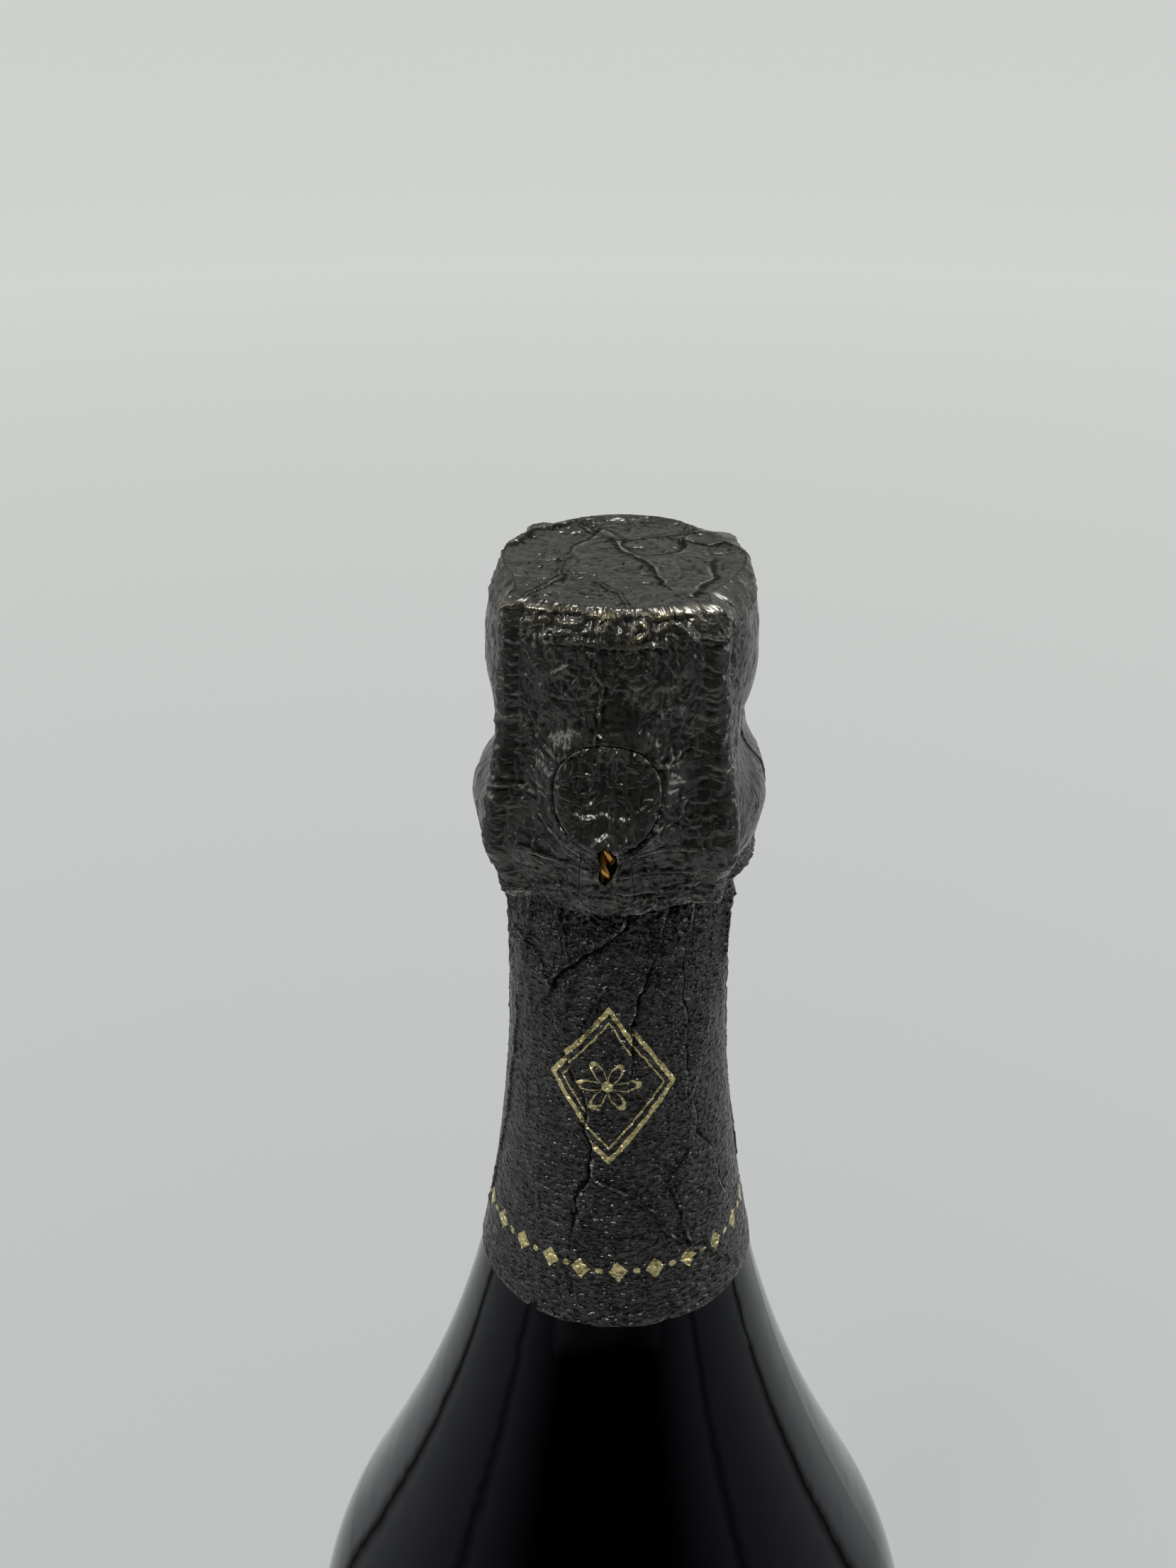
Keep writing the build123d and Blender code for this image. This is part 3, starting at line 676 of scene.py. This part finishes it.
kernel = np.exp(-(np.arange(-20, 21) / 8) ** 2)
kernel /= kernel.sum()
face_line, leg_line = [
    np.convolve(np.interp(fine_level, hood_rows[:, 0], hood_rows[:, side]), kernel, "same")
    for side in (1, 2)
]
hood_top = 304.78
hood_radius = 16.0
hood_girth = 2 * math.pi * hood_radius


def from_leg(turn):
    """The angle from the nearest of the cage's four legs."""
    off = (turn - math.pi / 4 + 20 * math.pi) % (math.pi / 2)
    return np.minimum(off, math.pi / 2 - off)


def hood_reach(turn, level):
    """The hood's radius at a turn from the loop and a level: a round ridge over each leg,
    and between them an arc of foil drawn over the cork, the lip and the ring."""
    ridge_radius, foot_radius, foot_level, foot_height = 1.7, 2.4, 274, 3
    swing = math.radians(72)
    face = np.interp(level, fine_level, face_line)
    leg = np.interp(level, fine_level, leg_line)
    edge = ridge_radius + (foot_radius - ridge_radius) * np.clip((foot_level - level) / foot_height, 0, 1)
    off = from_leg(turn)
    middle = leg - edge
    end_x, end_y = middle + edge * math.cos(swing), edge * math.sin(swing)
    end_turn, end_reach = np.arctan2(end_y, end_x), np.hypot(end_x, end_y)
    crest = middle * np.cos(off) + np.sqrt(np.maximum(edge**2 - (middle * np.sin(off)) ** 2, 0))
    least_gap = 0.05
    gap = end_reach * np.cos(math.pi / 4 - end_turn) - face
    gap = np.where(np.abs(gap) < least_gap, np.where(gap < 0, -least_gap, least_gap), gap)
    centre = (end_reach**2 - face**2) / (2 * gap)
    from_middle = math.pi / 4 - off
    span = face - centre
    panel = centre * np.cos(from_middle) + np.sign(span) * np.sqrt(
        np.maximum(span**2 - (centre * np.sin(from_middle)) ** 2, 0)
    )
    return np.where(off < end_turn, crest, panel)


def in_degrees(turn):
    """A turn from the loop's side, from -180 to 180."""
    return (np.degrees(turn) + 180) % 360 - 180


def hood_relief(turn, level):
    """Wrinkles of the hood's side: small all over, crushed below the rim, and drawn
    towards the loop and the legs. Also where they get painted shadow, and where they are
    rubbed: wear and painted highlight."""
    across = turn * hood_radius
    front = np.exp(-((in_degrees(turn) / 52) ** 4))
    near_leg = np.exp(-((from_leg(turn) / 0.2) ** 2))
    small = wrinkles(across, level, 2.2, hood_girth, 101) * 0.22
    small += wrinkles(across, level, 1.25, hood_girth, 111) * 0.2
    relief = small * (0.2 + 0.8 * front) - 0.15
    relief += unevenness(across, level, 4.5, hood_girth, 121) * 0.16
    relief += unevenness(across, level, 0.7, hood_girth, 123) * 0.03
    relief += near_leg * wrinkles(across, level, 2.4, hood_girth, 131, 0.5) * 0.1
    rim = np.clip((level - 300.9) / 1.0, 0, 1)
    relief += rim * wrinkles(across, level, 1.7, hood_girth, 141, 0.9) * (0.2 + 0.35 * front)
    skirt = np.clip((275.5 - level) / 3, 0, 1)
    relief += skirt * wrinkles(across, level, 5.0, hood_girth, 151, 0.16) * 0.3
    waist = np.exp(-(((level - 288) / 4) ** 2))
    relief += waist * wrinkles(across, level, 1.6, hood_girth, 161, 3.0) * 0.16
    folds = [
        (
            0.4, 0.35, 0, (-48, 304.4), (-27, 304.2), (-15, 304.5), (0, 304.1), (12, 304.5), (25, 304.3),
            (48, 304.5),
        ),
        (0.3, 0.4, 0, (-26, 301.2), (-11, 301.7), (0.6, 301.4), (14.2, 301.5), (28.5, 302), (41.9, 301.9)),
        (0.3, 0.35, 0, (10, 278.7), (20.6, 278.6), (36.4, 277.5)),
        (0.35, 0.4, 0, (-48.8, 283.3), (-40.5, 283.9), (-30.6, 283.7)),
        (0.25, 0.3, 0, (-5.9, 303.6), (-4, 301.5), (-5.4, 299), (-3.6, 296.1), (-4, 291)),
        (0.25, 0.3, 0, (-12, 290), (-22, 288.5), (-30, 290)),
        (0.25, 0.3, 0, (14, 289.5), (24, 288), (33, 289.5)),
        (0.25, 0.3, 0, (22, 284), (30, 281), (40, 281.5)),
        (0.3, 0.3, 0, (-26, 281.5), (-15, 279.2), (-4, 277.8)),
        (0.3, 0.3, 0, (-32, 277), (-16, 276.2), (-4, 276.4)),
        (0.3, 0.3, 0, (-34, 271.4), (-15, 272.6), (-4, 274.4)),
        (0.3, 0.3, 0, (24, 282), (13, 279.8), (6, 278)),
        (0.3, 0.3, 0, (32, 274.8), (16, 275.6), (6, 276)),
        (0.3, 0.3, 0, (34, 271.6), (15, 272.6), (5, 274)),
        (0.25, 0.4, 4.0, (95, 292), (102, 284), (98, 276), (104, 270)),
        (0.25, 0.4, 4.0, (-80, 291), (-88, 283), (-82, 274), (-86, 269)),
        (0.3, 0.4, 4.0, (170, 300), (176, 288), (170, 278), (178, 269)),
    ]
    folded, dark, rubbed_and_glint, _ = creases(across, level, folds, hood_radius)
    return relief + folded, dark, rubbed_and_glint


def wear(relief, rubbed_and_glint, turn, level):
    """Where crests have rubbed, and where highlights are painted: a share that is bare
    silver, with painted highlights at the rim's corners, and a share that shows gold,
    partly painted gold glints that are strongest at the front.
    """
    stands = proud(relief)
    patch = np.clip(unevenness(turn * hood_radius, level, 2.6, hood_girth, 171) * 2.2 - 0.1, 0, 1)
    broken = np.clip(unevenness(turn * hood_radius, level, 1.6, hood_girth, 173) * 2 + 0.5, 0, 1)
    rim = np.clip((level - 301.1) / 0.7, 0, 1)
    front = np.exp(-((in_degrees(turn) / 36) ** 2))
    # Gold on the rim's proud crests, strongest at the front: gold wear and painted gold glints.
    gold = np.clip(stands * 9 + 0.45, 0, 1) * rim * (0.15 + 0.55 * broken) * (0.15 + 0.85 * front)
    off = from_leg(turn)
    feet = np.exp(-(((off - 0.12) / 0.07) ** 2)) * np.clip((270.8 - level) / 1.5, 0, 1) * (0.3 + 0.7 * broken)
    # Painted highlight at the rim's corners over the legs.
    corner = np.exp(-(((off - 0.1) / 0.1) ** 2)) * np.exp(-(((level - 303.4) / 0.9) ** 2))
    bare_and_glint = np.clip((stands - 0.05) * 14, 0, 1) * patch * 0.9 + 1.4 * rubbed_and_glint * broken * (0.3 + 0.7 * patch)
    return bare_and_glint + feet * 1.5 + corner * (0.5 + 1.1 * patch), gold


# The loop under the foil, and by level how far the foil stands out over the loop and over
# its twisted stem, and half the width of the strip that tears out with the stem.
loop_level, loop_half_width, loop_half_height = 285.1, 5.8, 5.75
dome_rows = np.array([
    (277, 3.2), (279, 3.6), (281, 4.4), (283, 4.7), (285, 4.1),
    (287, 3.6), (289, 3.1), (291, 2.6), (293, 2.2),
])
stem_rows = np.array([
    (267, 0), (268.4, 0.4), (270.4, 1.3), (272.8, 2.4), (275.3, 2.5), (277.9, 2.4), (280.6, 2.6), (284, 0.8),
])
strip_rows = np.array([(270.8, 1.5), (272.2, 3.0), (276, 2.74), (278, 2.5)])


def flap_half(level):
    """Half the width of the torn flap: a strip over the twist that is narrow where it
    turns over the belt, and an oval over the loop."""
    oval = loop_half_width * np.sqrt(np.clip(1 - ((level - loop_level) / loop_half_height) ** 2, 0, 1))
    strip = np.interp(level, *strip_rows.T) * (level < loop_level)
    return np.maximum(oval, strip)


def swell(x, level):
    """How far the foil stands out over the loop and its twist, and sinks away round them."""
    oval = np.sqrt((x / loop_half_width) ** 2 + ((level - loop_level) / loop_half_height) ** 2)
    high = np.interp(level, *dome_rows.T)
    over = 0.8 + 0.2 * np.sqrt(np.clip(1 - oval**6, 0, 1))
    away = np.exp(-((np.clip(oval - 1, 0, None) * loop_half_width / 2.2) ** 2))
    dome = high * over * away - 0.1 * np.exp(-(((oval - 1) * loop_half_width / 0.4) ** 2))
    stem_half, widening, widens_below = 2.5, 0.12, 278
    half = stem_half + widening * np.clip(widens_below - level, 0, 9)
    stem = np.interp(level, *stem_rows.T)
    stem = stem * np.exp(-((np.abs(x) / (1.2 * half)) ** 2.6)) * (level < 285)
    stem = stem - 1.2 * np.exp(-(((x - 0.4) / 1.5) ** 2) - ((level - 277.4) / 2.5) ** 2)
    return np.maximum(dome, stem)


# The hood's side, from the rim down to its torn edge, which hangs lowest over the legs.
# Its rim is drawn in, most at the front, and it never sinks into the cork behind it.
hood_turns = np.linspace(-math.pi, math.pi, 800, endpoint=False)[None, :]
round_hood = hood_turns * hood_radius
low_edge = 268.8 + 0.15 * unevenness(round_hood, 0 * hood_turns, 1.2, hood_girth, 181)
low_edge += 0.3 * unevenness(round_hood, 0 * hood_turns, 3.0, hood_girth, 183)
low_edge = low_edge + 0.8 * np.clip(from_leg(hood_turns) / 0.35, 0, 1)
side_shares = np.linspace(0, 1, 200)[:, None]
side_level = hood_top + (low_edge - hood_top) * side_shares
side_turns = hood_turns + 0 * side_level
side_relief, side_painted_shadow, side_rubbed_and_glint = hood_relief(side_turns, side_level)
side_reach = hood_reach(side_turns, side_level) + side_relief
slope_from = 301.0
slope = np.clip((side_level - slope_from) / (hood_top - slope_from), 0, 1)
facing = np.clip(np.cos(hood_turns) * 1.5 + 0.5, 0, 1)
side_reach -= slope**1.8 * (0.3 + 1.6 * facing) * (1 - 0.75 * np.exp(-((from_leg(hood_turns) / 0.25) ** 2)))
corner = np.exp(-((from_leg(hood_turns) / 0.3) ** 2)) * (0.3 + 0.7 * (hood_turns > 0))
side_reach -= 2.0 * corner * np.clip((side_level - 304.15) / 0.6, 0, 1) ** 1.5
at_back = np.exp(-(((np.abs(hood_turns) - math.pi) / 0.7) ** 2))
side_reach += 1.2 * at_back * np.clip((side_level - 297) / 6, 0, 1)
cork_radius, cork_level, cork_curve, sinking = 15.25, 294.4, 0.04, 0.1
over_cork = cork_radius - cork_curve * (side_level - cork_level) ** 2
side_reach = np.where(side_reach < over_cork, over_cork + sinking * (side_reach - over_cork), side_reach)
wear_and_glint, gilt_and_glint = wear(side_relief, side_rubbed_and_glint, side_turns, side_level)
hem_broken = np.clip(unevenness(round_hood, 0 * hood_turns, 2.0, hood_girth, 191) * 2.5 + 0.4, 0, 1)
# A bright line along the torn hem: bare edge and painted highlight.
wear_and_glint = wear_and_glint + 0.9 * np.exp(-(((side_level - low_edge) / 0.28) ** 2)) * hem_broken
side_x, side_y = side_reach * np.sin(hood_turns), -side_reach * np.cos(hood_turns)
swell_top = 296
side_y = side_y - swell(side_x, side_level) * (side_y < 0) * (side_level < swell_top)
side_places = np.stack([side_x, side_y, side_level], axis=-1)
# Painted shade in the creases' shadows and sunken places, made lighter on the front of the rim band.
side_painted_shade = side_painted_shadow + np.clip((-proud(side_relief) - 0.02) * 12, 0, 0.7)
side_painted_shade *= 1 - 0.6 * np.clip((side_level - 301.1) / 0.7, 0, 1) * facing

# The hood's top: laps and creases pressed flat on the plate. Its folds are in
# millimetres across and back from the middle, each with its height, width and lap.
top_shares = np.linspace(0.015, 1, 80, endpoint=False)[:, None]
top_reach = side_reach[:1] * top_shares
top_x, top_y = top_reach * np.sin(hood_turns), -top_reach * np.cos(hood_turns)
top_folds = [
    (
        0.55, 0.4, 6.0, (6.5, 8.4), (6.5, 6.5), (6.1, 4.2), (3.9, 2.7), (1.7, 2.5), (-0.5, 5.8), (-1.8, 9.4),
        (-2.9, 10.6), (-4.3, 8.2), (-5.4, 5.3),
    ),
    (0.4, 0.3, 3.0, (-2.7, 8.3), (-0.3, 4), (2.5, 0.7), (4.4, -3.3), (5.1, -4.9)),
    (0.45, 0.3, 3.0, (6.5, 7.9), (8.9, 6.8), (11.1, 7.5), (13.5, 6.3)),
    (0.4, 0.3, 3.0, (-13.5, 4), (-12.3, 5.5), (-11.1, 9.3), (-8, 12)),
    (0.2, 0.3, 0, (-9.8, -9.7), (-6, -4), (-7, 1)),
    (0.2, 0.3, 0, (2, -13), (0.5, -8), (-2.5, -5)),
    (0.22, 0.3, 4.0, (8, -7.8), (10.2, -3.1), (9.5, 2)),
    (0.2, 0.3, 0, (-6, 12), (-2, 7), (3, 9), (9, 11)),
]
as_turns = [
    (rise, width, lapped, *[(math.degrees(x), y) for x, y in line])
    for rise, width, lapped, *line in top_folds
]
top_relief, top_painted_shadow, top_rubbed_and_glint, _ = creases(top_x, top_y, as_turns, 1.0)
flat_from, flat_girth = 60, 300
flat_x = top_x + flat_from
top_relief += wrinkles(flat_x, top_y, 3.2, flat_girth, 201) * 0.3
top_relief += unevenness(flat_x, top_y, 4.0, flat_girth, 211) * 0.2
top_relief += wrinkles(flat_x, top_y, 1.4, flat_girth, 221) * 0.16
top_relief += unevenness(flat_x, top_y, 0.7, flat_girth, 223) * 0.05
fade = np.clip((1 - top_shares) * 9, 0, 1)
sunk, highest_fold, fold_scale = 0.5, 0.48, 0.55
risen = 1 - np.exp(-np.maximum(top_relief, 0) * fade / fold_scale)
top_level = hood_top - sunk * fade + highest_fold * risen
top_places = np.stack([top_x, top_y, top_level], axis=-1)
top_broken = np.clip(unevenness(flat_x, top_y, 1.0, flat_girth, 231) * 2.5, 0, 1)
# On the top, the rubbed lap lines and proud crests are wear and painted highlight; the whole top is darkened
# by painted shade, more in the laps' painted shadows and the sunken places.
top_wear_and_glint = (top_rubbed_and_glint * 2.0 + np.clip((proud(top_relief) - 0.06) * 8, 0, 0.3)) * top_broken
top_painted_shade = 0.36 + 1.3 * top_painted_shadow + np.clip((-proud(top_relief) - 0.015) * 12, 0, 0.6)
hood_places = np.concatenate([top_places, side_places])
hood_marks = {
    "wear_and_glint": np.concatenate([top_wear_and_glint, wear_and_glint]),
    "gilt_and_glint": np.concatenate([0 * top_wear_and_glint, gilt_and_glint]),
    "painted_shade": np.concatenate([top_painted_shade, side_painted_shade]),
}
hood_sheet = np.concatenate([
    np.stack([flat_x, top_y + 320, 0 * top_x + 1], axis=-1),
    np.stack([round_hood + 0 * side_level, side_level, 0 * side_level], axis=-1),
])
flap_top, tear_gap = 290.8, 0.04
hood_x, hood_y, hood_level = (hood_places[..., axis] for axis in range(3))
torn_out = (np.abs(hood_x) < flap_half(hood_level) + tear_gap) & (hood_level < flap_top + 0.1) & (hood_y < 0)
# The hood's shades are paler than the neck foil's, though it is the same sheet: painted light, to brighten
# it.
plain_foil = foil_finish(
    "bronze_foil_embossed",
    printed=False,
    shades=("#32322f", "#4a4944"),
    embossed=0.06,
    crinkled=0.55,
    dimple_shade=0.2,
)
foil_piece(
    "foil_hood_sheet",
    plain_foil,
    hood_places,
    hood_sheet,
    hood_marks,
    body="foil",
    node="foil_hood",
    closed=True,
    keep=~torn_out,
)


# The flap: the piece of the hood that covers the pull loop. It is pressed round the
# loop and its twisted stem, and is torn where the twist shows through.
# Its edges lap over the hood's by 0.1 mm and are tucked behind them.
flap_bottom, flap_lap, tucked_from, tucked = 270.1, 0.14, 0.97, 0.09
flap_rows = flap_top - (flap_top - flap_bottom) * np.linspace(0, 1, 150)[:, None] ** 1.15
flap_side = np.linspace(-1, 1, 96)[None, :]
flap_x = flap_side * (flap_half(flap_rows) + flap_lap)
flap_levels = flap_rows + 0 * flap_x
flap_turns = flap_x / hood_radius
for _ in range(6):
    around = hood_reach(flap_turns, flap_levels)
    flap_turns = np.arcsin(np.clip(flap_x / around, -1, 1))
flap_relief, flap_painted_shadow, flap_rubbed_and_glint = hood_relief(flap_turns, flap_levels)
front_at = around * np.cos(flap_turns) + flap_relief + swell(flap_x, flap_levels)
front_at -= tucked * (np.abs(flap_side) > tucked_from)
hole = np.array([
    (-0.7, 279.8), (0.2, 280.6), (1.3, 279.4), (1.35, 277.7),
    (0.8, 275.8), (0.0, 274.8), (-0.7, 275.7), (-0.5, 277.4),
])


def within(x, y, outline):
    """Whether a place lies in a closed outline."""
    found = np.zeros(x.shape, bool)
    for (x0, y0), (x1, y1) in zip(outline, np.roll(outline, -1, axis=0)):
        crosses = (y0 > y) != (y1 > y)
        found ^= crosses & (x < (x1 - x0) * (y - y0) / (y1 - y0 + 1e-12) + x0)
    return found


tear = within(flap_x, flap_levels, hole)
hole_centre = np.array([0.2, 276.8])
edge = np.zeros(flap_x.shape)
for wider, taller in ((1.25, 1.125), (1.6, 1.3)):
    edge += within(flap_x, flap_levels, (hole - hole_centre) * (wider, taller) + hole_centre)
curled_up = 0.12
front_at = front_at + curled_up * edge
flap_patchy = np.clip(unevenness(flap_x, flap_levels, 1.2, 60, 301) * 1.5 + 0.3, 0, 1)
off_loop = (flap_x / loop_half_width) ** 2 + ((flap_levels - loop_level) / loop_half_height) ** 2
on_loop = np.clip(1.3 - off_loop, 0, 1)
# On the flap, the curled edges of the tear and the rubbed lines are wear and painted highlight; the creases'
# shadows and sunken places are painted shade.
flap_marks = {
    "wear_and_glint": (np.clip(edge * 0.7, 0, 1) + flap_rubbed_and_glint * 0.6 * (1 - on_loop)) * flap_patchy,
    "gilt_and_glint": 0 * flap_x,
    "painted_shade": flap_painted_shadow + np.clip((-proud(flap_relief) - 0.02) * 12, 0, 0.7),
}
flap_places = np.stack([flap_x, -front_at, flap_levels], axis=-1)
flap_sheet = np.stack([flap_turns * hood_radius, flap_levels, on_loop], axis=-1)
foil_piece(
    "foil_flap_sheet",
    plain_foil,
    flap_places,
    flap_sheet,
    flap_marks,
    body="loop",
    node="foil_flap",
    closed=False,
    keep=~tear,
)


# The table, and the soft light of a bright room with a lamp above and windows aside.
def lamp(name, place, aim, size, power, tall=None):
    """A soft rectangle of light at a place, turned towards its aim. Metres and watts."""
    made = bpy.data.lights.new(name, "AREA")
    made.shape = "RECTANGLE"
    made.size = size
    made.size_y = tall or size
    made.energy = power
    holder = bpy.data.objects.new(name, made)
    bpy.context.scene.collection.objects.link(holder)
    holder.location = place
    holder.rotation_euler = (Vector(aim) - Vector(place)).to_track_quat("-Z", "Y").to_euler()


lamp("ceiling_light", (0.15, 0.35, 1.3), (0, 0, 0.25), 0.4, 11.0)
lamp("left_window", (-1.1, -0.1, 0.75), (0, 0, 0.22), 0.45, 3.6, 1.1)
lamp("right_window", (1.1, 0.15, 0.7), (0, 0, 0.22), 0.45, 4.0, 1.1)
lamp("front_light", (-0.3, -0.55, 1.35), (0, 0, 0.25), 0.2, 6.5)

# Beyond the table, glossy surfaces alone see bands of light and dark, by bearing from the
# camera's side, 0, round to the far side, 1. The glass shows them as its long streaks.
room_bands = (
    (0.0, "#000000"), (0.07, "#121212"), (0.155, "#8b8d94"), (0.25, "#adafb7"), (0.285, "#67696d"),
    (0.32, "#9a9ca3"), (0.6, "#95979d"), (0.64, "#9a9ca1"), (0.68, "#303031"), (0.72, "#a5a7aa"),
    (1.0, "#c6c8c7"),
)
table_size, table_gap = 16, 0.0003
bpy.ops.mesh.primitive_plane_add(size=table_size, location=(0, 0, -table_gap))
table = bpy.context.object
table.name = "table_top"
paint, tree, shader = surface("board_painted_matt", Roughness=0.9)
place = add(tree, "ShaderNodeTexCoord").outputs["Object"]
# The board's colour grows paler with distance from the bottle, from #b9bbba near it to #dddfdc 1.6 m away: a
# painted fall-off of light.
far = add(tree, "ShaderNodeVectorMath", {"Vector": place}, operation="LENGTH")
away = add(tree, "ShaderNodeMapRange", {"Value": far.outputs["Value"], "From Min": 0.1, "From Max": 1.6})
tone = add(
    tree, "ShaderNodeValToRGB", {"Fac": away.outputs["Result"]}, stops=((0.0, "#b9bbba"), (1.0, "#dddfdc"))
)
tree.links.new(tone.outputs["Color"], shader.inputs["Base Color"])
plain = add(tree, "ShaderNodeEmission", {"Color": tone.outputs["Color"], "Strength": 1.0})
ray = add(tree, "ShaderNodeLightPath")
seen = add(tree, "ShaderNodeMath", {0: ray.outputs["Is Camera Ray"], 1: 0.8}, operation="MULTIPLY")
mixed = add(
    tree,
    "ShaderNodeMixShader",
    {0: seen.outputs["Value"], 1: shader.outputs["BSDF"], 2: plain.outputs["Emission"]},
)
bearing = add(tree, "ShaderNodeVectorMath", {"Vector": place}, operation="NORMALIZE")
apart = add(tree, "ShaderNodeSeparateXYZ", {"Vector": bearing.outputs["Vector"]})
round_about = add(tree, "ShaderNodeMapRange", {"Value": apart.outputs["Y"], "From Min": -1.0})
room = add(tree, "ShaderNodeValToRGB", {"Fac": round_about.outputs["Result"]}, stops=room_bands)
beyond = add(tree, "ShaderNodeEmission", {"Color": room.outputs["Color"]})
further = add(
    tree,
    "ShaderNodeMapRange",
    {"Value": round_about.outputs["Result"], "From Min": 0.1, "From Max": 0.25, "To Min": 0.3, "To Max": 0.0},
)
edge_of_table = add(
    tree, "ShaderNodeMath", {0: far.outputs["Value"], 1: further.outputs["Result"]}, operation="SUBTRACT"
)
past = add(
    tree,
    "ShaderNodeMapRange",
    {"Value": edge_of_table.outputs["Value"], "From Min": 0.14, "From Max": 0.24},
)
dim = add(
    tree, "ShaderNodeMath", {0: past.outputs["Result"], 1: ray.outputs["Is Glossy Ray"]}, operation="MULTIPLY"
)
whole = add(
    tree,
    "ShaderNodeMixShader",
    {0: dim.outputs["Value"], 1: mixed.outputs["Shader"], 2: beyond.outputs["Emission"]},
)
tree.links.new(whole.outputs["Shader"], tree.nodes["Material Output"].inputs["Surface"])
table.data.materials.append(paint)

# The world: plain light, less from the camera's side, and a pale backdrop for the camera.
world = bpy.data.worlds.new("room")
bpy.context.scene.world = world
world.use_nodes = True
tree = world.node_tree
facing = add(tree, "ShaderNodeTexCoord").outputs["Generated"]
apart = add(tree, "ShaderNodeSeparateXYZ", {"Vector": facing})
back = add(tree, "ShaderNodeMapRange", {"Value": apart.outputs["Y"], "From Min": -0.75, "From Max": 0.3})
walls = add(
    tree, "ShaderNodeValToRGB", {"Fac": back.outputs["Result"]}, stops=((0.0, "#3a3b3c"), (1.0, "#d4d6d4"))
)
ray = add(tree, "ShaderNodeLightPath")
wall = add(
    tree,
    "ShaderNodeMix",
    {"Factor": ray.outputs["Is Camera Ray"], "A": walls.outputs["Color"], "B": linear("#fdfefc")},
    data_type="RGBA",
)
tree.links.new(wall.outputs["Result"], tree.nodes["Background"].inputs["Color"])
tree.nodes["Background"].inputs["Strength"].default_value = 0.6
bpy.context.scene.view_settings.view_transform = "Standard"


# The camera: held 0.2 m in front of the neck, looking down 29 degrees and 6 degrees aside.
heading, dip = math.radians(6), math.radians(29)
held_at, focal_length, sensor_width = (0.0143, -0.17245, 0.3730), 38.65, 36
forward = Vector((-math.sin(heading) * math.cos(dip), math.cos(heading) * math.cos(dip), -math.sin(dip)))
right = Vector((math.cos(heading), math.sin(heading), 0))
above = right.cross(forward)
camera_data = bpy.data.cameras.new("camera")
camera_data.lens = focal_length
camera_data.sensor_width = sensor_width
camera_data.clip_start = 0.01
camera = bpy.data.objects.new("camera", camera_data)
bpy.context.scene.collection.objects.link(camera)
camera.matrix_world = Matrix.Translation(held_at) @ Matrix(
    [[right[row], above[row], -forward[row]] for row in range(3)]
).to_4x4()
bpy.context.scene.camera = camera
